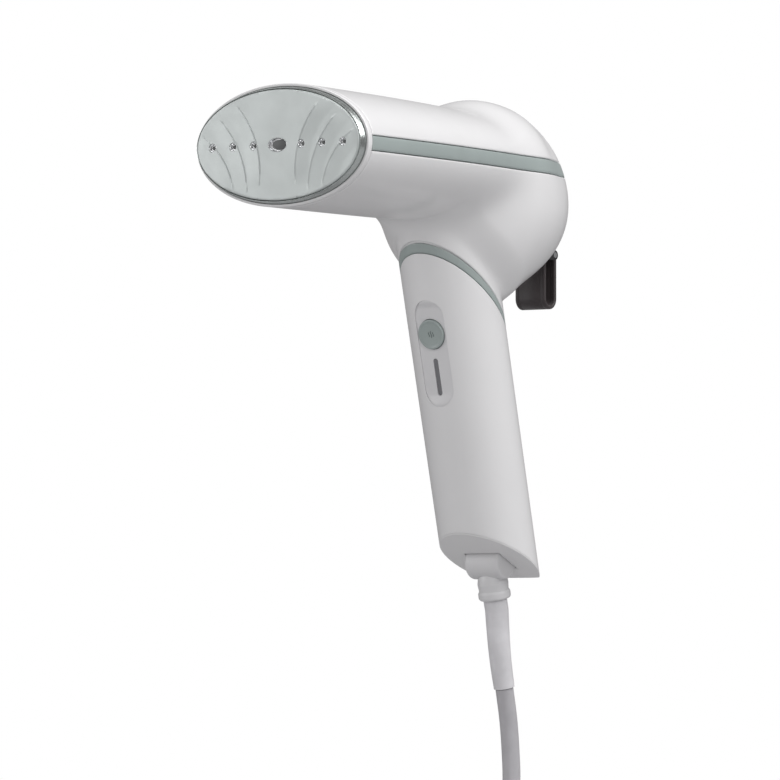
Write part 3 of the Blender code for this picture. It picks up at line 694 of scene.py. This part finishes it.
def make_head():
    """Covers of the head, its two bands and the tank's cap, all from one smooth skin."""
    cell = 0.0012
    low, high = (-0.052, BARREL_FRONT - 2 * cell, 0.04), (0.052, 0.056, 0.152)
    verts, faces = surface_net(low, high, cell)
    net = (settle(verts), faces)
    up = Vector((0, math.sin(BAND_TILT), math.cos(BAND_TILT)))
    front = (Vector((0, BARREL_FRONT, 0)), Vector((0, 1, 0)))
    tank_up = Vector((0, math.sin(TANK_TILT), math.cos(TANK_TILT)))
    ahead = (DRUM_CENTRE + tank_up * (TANK_SEAM - GAP / 2), -tank_up)
    behind = (DRUM_CENTRE + tank_up * (TANK_SEAM + GAP / 2), tank_up)
    over_band = (BAND_START + up * (BAND_WIDTH + GAP / 2), up)
    under_top = (BAND_START + up * (BAND_WIDTH - GAP / 2), -up)
    over_low = (BAND_START + up * GAP / 2, up)
    under_band = (BAND_START - up * GAP / 2, -up)
    top = head_shell("upper_cover", net, (over_band, ahead, front))
    add_object("upper_cover", top, "head", "white_plastic", "upper_housing")
    base = head_shell("lower_cover", net, (under_band, ahead, front), neck_cut=True)
    add_object("lower_cover", base, "head", "white_plastic", "lower_housing")
    for side, sign in (("right", 1), ("left", -1)):
        half = (Vector((sign * 0.001, 0, 0)), Vector((sign, 0, 0)))
        band = head_shell("band_" + side, net, (over_low, under_top, ahead, front, half))
        add_object("band_" + side, band, "head", "sage_plastic", "side_band_" + side)
    cap = head_shell("tank_cover", net, (behind,))
    add_object("tank_cover", cap, "tank", "white_plastic", "rear_cap")


# ---- steam plate


def relief_plate(outline, holes, points, height, back):
    """Closed plate over a flat outline with holes. height(u, v) is its face; back is flat.

    Every hole is (ring of points, inside test). Returns a bmesh with (u, v) as x and y.
    """
    coords = [Vector(p) for p in outline]
    loops = [list(range(len(coords)))]
    for ring, _ in holes:
        start = len(coords)
        coords += [Vector(p) for p in ring]
        loops.append(list(range(start, len(coords))))
    coords += [Vector(p) for p in points]
    edges = [(loop[i], loop[(i + 1) % len(loop)]) for loop in loops for i in range(len(loop))]
    found = delaunay_2d_cdt(coords, edges, [loops[0]], 1, 1e-7)
    verts, origins = found[0], found[3]
    bm = bmesh.new()
    front = [bm.verts.new((p.x, p.y, height(p.x, p.y))) for p in verts]
    rear = [bm.verts.new((p.x, p.y, back)) for p in verts]
    for face in found[2]:
        middle = sum((verts[i] for i in face), Vector((0, 0))) / len(face)
        if any(inside(middle.x, middle.y) for _, inside in holes):
            continue
        bm.faces.new([front[i] for i in face])
        bm.faces.new([rear[i] for i in reversed(face)])
    place = {old: new for new, olds in enumerate(origins) for old in olds}
    for loop in loops:
        ring = [place[i] for i in loop]
        for a, b in zip(ring, ring[1:] + ring[:1]):
            bm.faces.new((front[a], front[b], rear[b], rear[a]))
    loose = [v for v in bm.verts if not v.link_faces]
    bmesh.ops.delete(bm, geom=loose, context="VERTS")
    return bm


def steam_holes():
    """Centre offset and radii of each steam hole, from side to side."""
    for i in range(-3, 4):
        offset = HOLE_SPACING * i + HOLE_SHIFT * ((i > 0) - (i < 0))
        yield offset, *((HOLE_R, HOLE_R) if i else CENTRE_HOLE)


# Arcs of the fan relief: circle centre across and up, radius, lower end and upper end.
# Each is a step that falls away over FAN_FALL inside the arc and over FAN_EDGE outside it.
FAN_FALL, FAN_EDGE = 0.007, 0.00025
FAN_ARCS = (
    (-0.048, -0.011, 0.0388, -0.0173, 0.0175),
    (-0.058, -0.02, 0.042, -0.0198, 0.012),
    (-0.056, -0.024, 0.0333, -0.0185, 0.006),
)


def fan_relief(u, v):
    """Shallow steps along each arc, mirrored on the other side of the plate."""
    u = -abs(u)
    total = 0.0
    for cu, cv, radius, low, high in FAN_ARCS:
        over = math.hypot(u - cu, v - cv) - radius
        if not -FAN_FALL < over < FAN_EDGE or not low < v < high:
            continue
        fade = min(1.0, (v - low) / 0.006, (high - v) / 0.004)
        rise = 1 + over / FAN_FALL if over < 0 else 1 - over / FAN_EDGE
        ridge = max(0.0, 1 - abs(over + 0.0001) / 0.0003)
        total += (0.0003 * rise + 0.00016 * ridge) * fade
    return total


def plate_height(u, v):
    """Height of the plate's face: level, with the fan relief and a rounded lip."""
    reach = math.hypot(u / PLATE_RX, v / PLATE_RZ)
    to_edge = (1 - reach) * PLATE_RZ * (1 + 0.8 * abs(u) / PLATE_RX)
    drop = 0.0
    if to_edge < PLATE_LIP:
        drop = PLATE_LIP - math.sqrt(max(PLATE_LIP**2 - (PLATE_LIP - max(to_edge, 0)) ** 2, 0))
    return FACE - drop + fan_relief(u, v) * min(1.0, max(0.0, to_edge / 0.003))


def in_open_field(u, v):
    """True for a point of the plate clear of its edge and of every hole."""
    if math.hypot(u / PLATE_RX, v / PLATE_RZ) > 0.962:
        return False
    return all(
        math.hypot((u - c) / (rx + 0.0005), v / (rz + 0.0005)) > 1 for c, rx, rz in steam_holes()
    )


def plate_points():
    """Mesh points of the plate: rings inside its edge and round its holes, arcs and a grid."""
    points = []
    for share in (0.9965, 0.99, 0.981, 0.97):
        points += ellipse_points(PLATE_RX * share, PLATE_RZ * share, 160)
    for offset, rx, rz in steam_holes():
        points += ellipse_points(rx + 0.0003, rz + 0.0003, 28, (offset, 0))
    for cu, cv, radius, low, high in FAN_ARCS:
        for sign in (-1, 1):
            for over in (-0.0004, 0.0, FAN_EDGE):
                for i in range(81):
                    v = low + (high - low) * i / 80
                    reach = (radius + over) ** 2 - (v - cv) ** 2
                    u = cu + math.sqrt(max(reach, 0))
                    if reach > 0 and in_open_field(u, v):
                        points.append((sign * -u, v))
    pitch = 0.0007
    for i in range(-int(PLATE_RX / pitch), int(PLATE_RX / pitch) + 1):
        for j in range(-int(PLATE_RZ / pitch), int(PLATE_RZ / pitch) + 1):
            u, v = (i + 0.5 * (j % 2)) * pitch, j * pitch
            if in_open_field(u, v):
                points.append((u, v))
    return points


def make_plate():
    """Steam plate with its holes and relief."""
    holes = []
    for offset, rx, rz in steam_holes():
        ring = ellipse_points(rx, rz, 28, (offset, 0))
        test = lambda u, v, c=offset, a=rx, b=rz: math.hypot((u - c) / a, v / b) < 1
        holes.append((ring, test))
    outline = ellipse_points(PLATE_RX, PLATE_RZ, 160)
    bm = relief_plate(outline, holes, plate_points(), plate_height, FACE - 0.0055)
    mesh = finish_mesh("plate_face", bm, 30, PLATE)
    add_object("plate_face", mesh, "head", "plate_metal", "steam_plate")


def make_rim():
    """Polished rim round the plate, and the white bezel that carries it."""
    back = -BARREL_FRONT + GAP
    edge_rx, edge_rz = PLATE_RX + GAP, PLATE_RZ + GAP
    rows = (
        (edge_rx, edge_rz, back),
        (edge_rx + 0.0011, edge_rz + 0.0011, back),
        (edge_rx + 0.0011, edge_rz + 0.0011, back + 0.0024),
        (edge_rx + 0.0002, edge_rz + 0.0002, FACE - 0.0004),
        (edge_rx, edge_rz, FACE - 0.0006),
    )
    rim = oval_stack(rounded(rows, 0.0001, 3, closed=True), 160, closed=True)
    mesh = finish_mesh("polished_rim", rim, 60, PLATE)
    # The rim takes the darker copy of polished steel, painted shade of its reflections.
    add_object("polished_rim", mesh, "head", "polished_steel", "plate_rim", look="rim_steel_shaded")
    inner_rx, inner_rz = edge_rx + 0.0012, edge_rz + 0.0012
    rows = (
        (BEZEL_RX, BEZEL_RZ, back),
        (BEZEL_RX, BEZEL_RZ, back + 0.0022),
        (BEZEL_RX - 0.0003, BEZEL_RZ - 0.0003, back + 0.0027),
        (inner_rx, inner_rz, back + 0.0027),
        (inner_rx, inner_rz, back),
    )
    bezel = oval_stack(rounded(rows, 0.0004, closed=True), 160, closed=True)
    mesh = finish_mesh("bezel_ring", bezel, 60, PLATE)
    add_object("bezel_ring", mesh, "head", "white_plastic", "front_bezel")


def shade_core_share(rx):
    """Radius of a hole's dark core, painted shade of the hole's inside, as a share of the hole's;
    the centre core is larger.
    """
    return 0.74 if rx > HOLE_R else 0.45


def make_nozzles():
    """Polished cones pressed into the steam holes."""
    cones = []
    for offset, rx, rz in steam_holes():
        rx, rz = rx - 0.00005, rz - 0.00005
        throat = shade_core_share(rx) + 0.1
        step = (1 + throat) / 2
        rows = (
            (rx, rz, FACE - 0.003),
            (rx, rz, FACE - 0.0001),
            (rx - 0.0002, rz - 0.0002, FACE + 0.00004),
            (rx * step, rz * step, FACE - 0.0002),
            (rx * throat, rz * throat, FACE - 0.0009),
            (rx * 0.1, rz * 0.1, FACE - 0.0008),
        )
        cone = oval_stack(rounded(rows, 0.00012), 32)
        bmesh.ops.translate(cone, verts=cone.verts, vec=(offset, 0, 0))
        cones.append(cone)
    mesh = finish_merged("steam_nozzles", cones, 45, PLATE)
    add_object("steam_nozzles", mesh, "head", "polished_steel")


def make_hole_shade_cores():
    """Small dark dome in each steam hole, set a little off centre: painted shade for the dark
    inside of the hole.
    """
    cores = []
    for offset, rx, rz in steam_holes():
        share = shade_core_share(rx)
        rows = [(rx * 0.2, rz * 0.2, FACE - 0.001), (rx * share, rz * share, FACE - 0.001)]
        rows += [(rx * share, rz * share, FACE - 0.0005), (rx * 0.05, rz * 0.05, FACE - 0.0003)]
        core = oval_stack(rounded(rows, 0.0002), 32)
        # The dark dome sits off centre, on the side of the hole that the painted shade covers.
        bmesh.ops.translate(core, verts=core.verts, vec=(offset + 0.14 * rx, 0, 0))
        cores.append(core)
    mesh = finish_merged("hole_shade_cores", cores, 50, PLATE)
    add_object("hole_shade_cores", mesh, "head", "silicone", look="hole_shade")


# ---- handle


def column_scale(w):
    """The column is a little slimmer towards the bottom."""
    return min(1.0, 1.0 - 0.025 * (0.05 - w) / 0.17)


def column_ring(plane, height, inset=0.0, segments=160):
    """Where the handle's oval column meets a tilted plane, as points in the world."""
    normal = (plane.to_3x3() @ Vector((0, 0, 1))).normalized()
    origin = plane.translation + normal * height
    side = HANDLE.to_3x3() @ Vector((0, 1, 0))
    points = []
    for i in range(segments):
        turn = 2 * math.pi * i / segments
        w = 0.0
        for _ in range(5):
            scale = column_scale(w)
            u = (HANDLE_RX * scale - inset) * math.cos(turn)
            v = (HANDLE_RY * scale - inset) * math.sin(turn)
            foot = Vector((u, 0, 0)) + side * v
            w = (origin - foot).dot(normal) / HANDLE_AXIS.dot(normal)
        points.append(foot + HANDLE_AXIS * w)
    return points


def column_skin(name, low, high, wall, edges, bands=40):
    """Hollow length of the column between two (plane, height) ends with rounded rims.

    edges is the rim radius at the low end and at the high end.
    """
    rings = []
    for plane, height, radius, sign in ((*low, edges[0], 1), (*high, edges[1], -1)):
        arc = []
        for k in range(5):
            turn = math.pi / 2 * k / 4
            inset = radius * (1 - math.sin(turn))
            arc.append(column_ring(plane, height + sign * radius * (1 - math.cos(turn)), inset))
        rings.append(arc)
    outer = rings[0]
    first, last = rings[0][-1], rings[1][-1]
    for k in range(1, bands):
        t = k / bands
        outer.append([a.lerp(b, t) for a, b in zip(first, last)])
    outer += rings[1][::-1]
    inner = [column_ring(*high, inset=wall), column_ring(*low, inset=wall)]
    bm = skin_rings([*outer, *inner], closed=True)
    return finish_mesh(name, bm, 50)


def capsule(width, low, high, count=24):
    """Outline of an upright slot with round ends, in (u, v)."""
    radius = width / 2
    steps = max(2, round((high - low - width) / 0.0012))
    ends = (high - radius, low + radius)
    points = []
    for centre, other, start, side in ((*ends, 0, -radius), (*ends[::-1], math.pi, radius)):
        for i in range(count + 1):
            turn = start + math.pi * i / count
            points.append((radius * math.cos(turn), centre + radius * math.sin(turn)))
        points += [(side, centre + (other - centre) * i / steps) for i in range(1, steps)]
    return points


def capsule_reach(u, v, width, low, high):
    """How far a point lies outside a capsule's outline; negative inside."""
    radius = width / 2
    v = min(max(v, low + radius), high - radius) - v
    return math.hypot(u, v) - radius


def make_handle():
    """Grip with its window for the panel, and the ring on the neck's slanted seam."""
    shell = column_skin(
        "grip_cover", (BOTTOM, 0.0006), (NECK, -GAP / 2), SHELL, (0.0001, 0.0003), bands=90
    )
    outline = capsule(PANEL_W, PANEL_LOW, PANEL_TOP)
    prism = [[Vector((u, y, v)) for u, v in outline] for y in (-0.03, -0.012)]
    window = finish_mesh("window", skin_rings(prism), matrix=HANDLE)
    shell = cut_out(shell, window, tip_block())
    add_object("grip_cover", shell, "handle", "white_plastic", "handle_shell")
    low, high = (NECK, GAP / 2), (NECK, RING_HEIGHT - GAP / 2)
    ring = column_skin("seam_ring", low, high, 0.0045, (0.0002, 0.0004), bands=4)
    add_object("seam_ring", ring, "handle", "sage_plastic", "neck_ring")


def make_panel():
    """Flat panel let into the grip, with seats for the button and the light bar."""
    clear = 0.00005
    width, low, high = PANEL_W - 2 * clear, PANEL_LOW + clear, PANEL_TOP - clear

    def height(u, v):
        grip = HANDLE_RY * math.sqrt(1 - (u / HANDLE_RX) ** 2)
        ramp_low = smooth_fade(1 - (v - low) / 0.006)
        ramp_high = smooth_fade(1 - (high - v) / 0.004)
        flat = -PANEL_Y
        top = flat + (grip - flat) * max(ramp_low, ramp_high)
        inside = -capsule_reach(u, v, width, low, high)
        return top - 0.00015 * max(0.0, 1 - inside / 0.0003)

    seat = BUTTON_R + 0.00025
    button_ring = ellipse_points(seat, seat, 64, (0, BUTTON_Z))
    slot = (SLOT_W, LIGHT_LOW - 0.0002, LIGHT_TOP + 0.0002)
    holes = [
        (button_ring, lambda u, v: math.hypot(u, v - BUTTON_Z) < seat),
        (capsule(*slot, count=8), lambda u, v: capsule_reach(u, v, *slot) < 0),
    ]
    points = capsule(width - 0.0005, low + 0.00025, high - 0.00025)
    points += ellipse_points(seat + 0.0003, seat + 0.0003, 64, (0, BUTTON_Z))
    pitch = 0.0006
    for i in range(-14, 15):
        for j in range(90):
            u, v = i * pitch, low + j * pitch
            if capsule_reach(u, v, width, low, high) > -0.0006:
                continue
            if math.hypot(u, v - BUTTON_Z) < seat + 0.0005 or capsule_reach(u, v, *slot) < 0.0002:
                continue
            points.append((u, v))
    bm = relief_plate(capsule(width, low, high), holes, points, height, -PANEL_Y - 0.0016)
    mesh = finish_mesh("panel_inlay", bm, 50, GRIP_FRONT)
    add_object("panel_inlay", mesh, "handle", "pale_plastic", "control_panel")


def make_button():
    """Round button with a raised edge, a dished face and a flange behind the panel."""
    face = -PANEL_Y + 0.0009
    rows = (
        (0.002, 0.0152),
        (0.002, 0.0166),
        (BUTTON_R, 0.0166),
        (BUTTON_R, face + 0.0002),
        (BUTTON_R - 0.0007, face + 0.0003),
        (BUTTON_R - 0.0014, face),
        (0.0004, face - 0.0003),
    )
    place = GRIP_FRONT @ Matrix.Translation((0, BUTTON_Z, 0))
    mesh = finish_mesh("round_button", turned(rows, 0.0004), 40, place)
    add_object("round_button", mesh, "button", "sage_plastic", "steam_button")
    make_button_mark(place, face)


def make_button_mark(place, face):
    """Three small wavy strokes on the button, for steam."""
    strokes = []
    for k, reach in ((-1, 0.0011), (0, 0.0016), (1, 0.0011)):
        rings = []
        for i in range(13):
            t = i / 12
            thick = 0.00016 if 0 < i < 12 else 0.00006
            middle = (0.0011 * k + 0.00022 * math.sin(2 * math.pi * t), face - 0.00022)
            ring = ellipse_points(thick, thick, 8, middle)
            rings.append([(u, reach * (2 * t - 1), depth) for u, depth in ring])
        strokes.append(skin_rings(rings))
    mesh = finish_merged("button_mark", strokes, 60, place)
    add_object("button_mark", mesh, "button", "black_plastic", look="mark_ink")


def make_bottom():
    """Slanted end plate with a pocket for the cord swivel."""
    rise, flange, edge = 0.0022, 0.0005, 0.0003
    clear = SHELL + 0.00015
    rows = [column_ring(BOTTOM, rise, inset=clear), column_ring(BOTTOM, flange, inset=clear)]
    for k in range(5):
        turn = math.pi / 2 * k / 4
        inset = edge * (1 - math.cos(turn))
        rows.append(column_ring(BOTTOM, edge * (1 - math.sin(turn)), inset=inset))
    rows.insert(2, column_ring(BOTTOM, flange))
    plate = finish_mesh("end_plate", skin_rings(rows), 50)
    reach, half = KNUCKLE_R + 0.0006, KNUCKLE_HALF + 0.0006
    rows = [(reach, reach, x) for x in (-half, half)]
    across = KNUCKLE @ Matrix.Rotation(math.pi / 2, 4, "Y")
    pocket = finish_mesh("pocket", oval_stack(rows, 64), matrix=across)
    plate = cut_out(plate, pocket, tip_block(lift=0.0001))
    add_object("end_plate", plate, "handle", "white_plastic", "bottom_cap")


def make_swivel():
    """Cross barrel with softened ends, and the collar that grips the sleeve."""
    half, radius = KNUCKLE_HALF, KNUCKLE_R
    across = KNUCKLE @ Matrix.Rotation(math.pi / 2, 4, "Y")
    rows = ((0.0015, -half), (radius, -half), (radius, half), (0.0015, half))
    barrel = turned(rows, 0.0017, steps=6, segments=72)
    mesh = finish_mesh("swivel_barrel", barrel, 60, across)
    add_object("swivel_barrel", mesh, "swivel", "pale_plastic", "cord_swivel")
    down = KNUCKLE @ Matrix.Rotation(math.pi, 4, "X")
    rows = (
        (0.0054, 0.0048),
        (0.0063, 0.0066),
        (0.0068, 0.009),
        (0.0065, 0.0121),
        (0.0067, 0.0124),
        (0.0071, 0.0131),
        (0.0071, 0.0152),
        (0.0066, 0.016),
        (0.0046, 0.016),
        (0.0044, 0.0048),
    )
    collar = turned(rows, 0.0004, steps=3, closed=True)
    mesh = finish_mesh("swivel_collar", collar, 60, down)
    add_object("swivel_collar", mesh, "swivel", "pale_plastic")


# ---- hanging loop


def make_loop():
    """Soft strap in a closed loop, with rounded edges and two stitched hems pressed in."""
    pin_y, pin_z, half_width, thick = LOOP_Y, LOOP_Z, 0.008, 0.0016
    middle = []
    reach = 0.0048 - thick / 2
    for centre_z, start in ((pin_z - 0.001, 0), (0.06, math.pi)):
        for i in range(17):
            turn = start + math.pi * i / 16
            out = Vector((0, math.cos(turn), math.sin(turn)))
            middle.append((Vector((0, pin_y, centre_z)) + out * reach, out))
    path = []
    for i, (point, out) in enumerate(middle):
        path.append((point, out))
        if i in (16, 33):
            after = middle[(i + 1) % 34][0]
            path += [(point.lerp(after, k / 10), out) for k in range(1, 10)]
    edge = thick / 2
    section = []
    for sign in (1, -1):
        for k in range(9):
            turn = math.pi * k / 8 - math.pi / 2
            section.append(
                (sign * (half_width - edge + edge * math.cos(turn)), sign * edge * math.sin(turn))
            )
        groove = 0.00018
        for x in (0.75, 0.7, 0.65, -0.65, -0.7, -0.75):
            depth = groove if abs(x) == 0.7 else 0
            section.append((sign * x * half_width, sign * (edge - depth)))
    rings = []
    for x, off in section:
        rings.append([point + out * off + Vector((x, 0, 0)) for point, out in path])
    mesh = finish_mesh("strap_loop", skin_rings(rings, closed=True), 50)
    add_object("strap_loop", mesh, "loop", "dark_strap", "hanging_loop")
    for side, name in ((-1, "left"), (1, "right")):
        rows = [(0.0022, 0.0024, side * z) for z in (0.0084, 0.0102)]
        eye = oval_stack(rounded(rows, 0.0004, 3), 40)
        for vert in eye.verts:
            vert.co.y -= 0.01 * smooth_fade(-vert.co.y / 0.0012)
        place = Matrix.Translation((0, pin_y, pin_z)) @ Matrix.Rotation(math.pi / 2, 4, "Y")
        mesh = finish_mesh("loop_lug_" + name, eye, 50, place)
        add_object("loop_lug_" + name, mesh, "head", "black_plastic")


# ---- cord


SLEEVE_ROUTE = (
    (0, 0.0189, -0.077),
    (0, 0.0197, -0.085),
    (0, 0.0207, -0.093),
    (0, 0.0223, -0.102),
    (0, 0.0245, -0.111),
)
CORD_ROUTE = (
    (0, 0.0246, -0.1114),
    (0, 0.0276, -0.125),
    (0, 0.0294, -0.14),
    (0, 0.0298, -0.154),
    (0, 0.0264, -0.1732),
    (0, 0.0166, -0.1878),
    (0, 0.002, -0.1976),
    (0, -0.0152, -0.2009),
    (0, -0.028, -0.2009),
)
TAIL_ROUTE = (
    (-0.1, -0.029, -0.1895),
    (-0.1, -0.021, -0.1885),
    (-0.1, -0.0142, -0.1878),
)
# Radius and layer of each coil turn, from the floor up.
COIL_TURNS = ((0.05, 0), (0.042, 0), (0.042, 1), (0.05, 1), (0.042, 2), (0.05, 2))
COIL_END = 5.5


def coil_points(steps=48):
    """Turns beside and on each other, each change spread over a sixth of a turn."""
    points = []
    for i in range(1, int(COIL_END * steps)):
        turn = i / steps
        now = int(turn)
        radius, layer = COIL_TURNS[now]
        old_radius, old_layer = COIL_TURNS[max(now - 1, 0)]
        share = float(smooth_fade((turn - now) * 6))
        reach = old_radius + (radius - old_radius) * share
        level = old_layer + (layer - old_layer) * share
        angle = 2 * math.pi * turn
        across = Vector((math.cos(angle), -math.sin(angle), 0)) * reach
        points.append(COIL_CENTRE + across + Vector((0, 0, CORD_Z + 2 * CORD_R * level)))
    return points


def ring_tube(name, points, radius, taper=0.0, sides=16):
    """Round tube as a mesh, with its rings turned as little as possible along the points."""
    rings = []
    side = Vector((1, 0, 0))
    turns = [2 * math.pi * k / sides for k in range(sides)]
    for i, point in enumerate(points):
        ahead = points[min(i + 1, len(points) - 1)] - points[max(i - 1, 0)]
        ahead.normalize()
        side = (side - ahead * side.dot(ahead)).normalized()
        other = ahead.cross(side)
        reach = radius * (1 - taper * i / (len(points) - 1))
        rings.append([point + (side * math.cos(t) + other * math.sin(t)) * reach for t in turns])
    return finish_mesh(name, skin_rings(rings), 60)


def make_cord():
    """Sleeve, mains cord with its tied coil, and the plug."""
    along = -HANDLE_AXIS
    start = along * (-KNUCKLE_Z + 0.016 + GAP)
    sleeve = [start, start + along * 0.002, *smooth_route(SLEEVE_ROUTE, 0.0012)]
    mesh = ring_tube("sleeve", sleeve, 0.0052, taper=0.12, sides=48)
    add_object("sleeve", mesh, "swivel", "pale_plastic", "strain_relief", look="cord_sleeve")
    drop = smooth_route(CORD_ROUTE, 0.004)
    floor_run = [Vector((0, y, CORD_Z)) for y in (-0.036, -0.044, -0.052, COIL_CENTRE.y)]
    coil = coil_points()
    leave = COIL_CENTRE + Vector((-0.05, 0, CORD_Z + 4 * CORD_R))
    tail = smooth_route([leave, (-0.1, -0.044, -0.1868), *TAIL_ROUTE], 0.004)
    line = [*drop, *floor_run, *coil, *tail]
    mesh = ring_tube("mains_cord", line, CORD_R)
    cord = linked("mains_cord", mesh)
    mesh.materials.append(MATERIALS["cord_grey"])
    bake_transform(cord)
    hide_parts("cord_drop", "cord_run", "cord_coil", "cord_tail")
    pieces = [make_tie(), *make_plug()]
    [tuple(p) for p in line]


def make_tie():
    """Strap round the far side of the coil."""
    low, high = FLOOR_Z + 0.0016, FLOOR_Z + 0.0266
    middle = COIL_CENTRE.y + COIL_R
    reach, thick, half_width = 0.0085 + GAP, 0.0012, 0.0058
    corners = (
        (middle - reach - thick / 2, low - GAP - thick / 2),
        (middle + reach + thick / 2, low - GAP - thick / 2),
        (middle + reach + thick / 2, high + GAP + thick / 2),
        (middle - reach - thick / 2, high + GAP + thick / 2),
    )
    loop = rounded([(y, z, 0) for y, z in corners], 0.0024, 5, closed=True)
    rings = []
    for x, off in ((-half_width, -1), (-half_width, 1), (half_width, 1), (half_width, -1)):
        centre = Vector((middle, (low + high) / 2))
        ring = []
        for y, z, _ in loop:
            out = (Vector((y, z)) - centre).normalized()
            y, z = Vector((y, z)) + out * off * thick / 2
            ring.append(Vector((COIL_CENTRE.x + x, y, z)))
        rings.append(ring)
    mesh = finish_mesh("coil_tie", skin_rings(rings, closed=True), 50)
    return add_object("coil_tie", mesh, "handle", "black_plastic", "cord_tie")


def make_plug():
    """Round two-pin plug with a ribbed grip."""
    centre_x, start, axis_z = -0.1, -0.0135, FLOOR_Z + PLUG_R + 0.0002
    rows = [(0.0042, 0.0), (0.0055, 0.0006)]
    rib = ((0.0056, 0.002), (0.0049, 0.0028), (0.0049, 0.0034), (0.0057, 0.004))
    for k in range(5):
        rows += [(radius + 0.0002 * k, z + 0.0022 * k) for radius, z in rib]
    rows += [(0.008, 0.0155), (0.0112, 0.019), (0.0122, 0.03), (0.0165, 0.0382)]
    rows += [(PLUG_R - 0.0002, 0.04), (PLUG_R - 0.0002, 0.046), (0.001, 0.046)]
    body = turned(rows, 0.0006, steps=3)
    turn = Matrix.Translation((centre_x, start, axis_z)) @ Matrix.Rotation(-math.pi / 2, 4, "X")
    mesh = finish_mesh("plug_grip", body, 60, turn)
    grip = add_object("plug_grip", mesh, "handle", "cord_grey", "plug_body")
    pieces = [grip]
    for side, name in ((-1, "left"), (1, "right")):
        rows = ((0.0005, 0.0463), (0.0023, 0.0463), (0.0023, 0.0645), (0.0008, 0.0652))
        pin = turned(rows, 0.0008, segments=32)
        shift = turn @ Matrix.Translation((side * 0.0095, 0, 0))
        mesh = finish_mesh("pin_" + name, pin, 50, shift)
        pieces.append(
            add_object("pin_" + name, mesh, "handle", "polished_steel", "plug_pin_" + name)
        )
    return pieces


# ---- assembly


def finish_inner_nodes():
    """Give every CAD node that stays in view its slot's material."""
    for part in frame["record"]["subparts"]:
        node = NODES[part["node"]]
        node.data.materials.clear()
        node.data.materials.append(MATERIALS[part["material_slot"]])


make_materials()
make_camera()
make_cord()
make_light()
make_floor()
make_head()
make_plate()
make_nozzles()
make_hole_shade_cores()
make_rim()
make_handle()
make_panel()
make_button()
make_bottom()
make_swivel()
make_loop()
finish_inner_nodes()
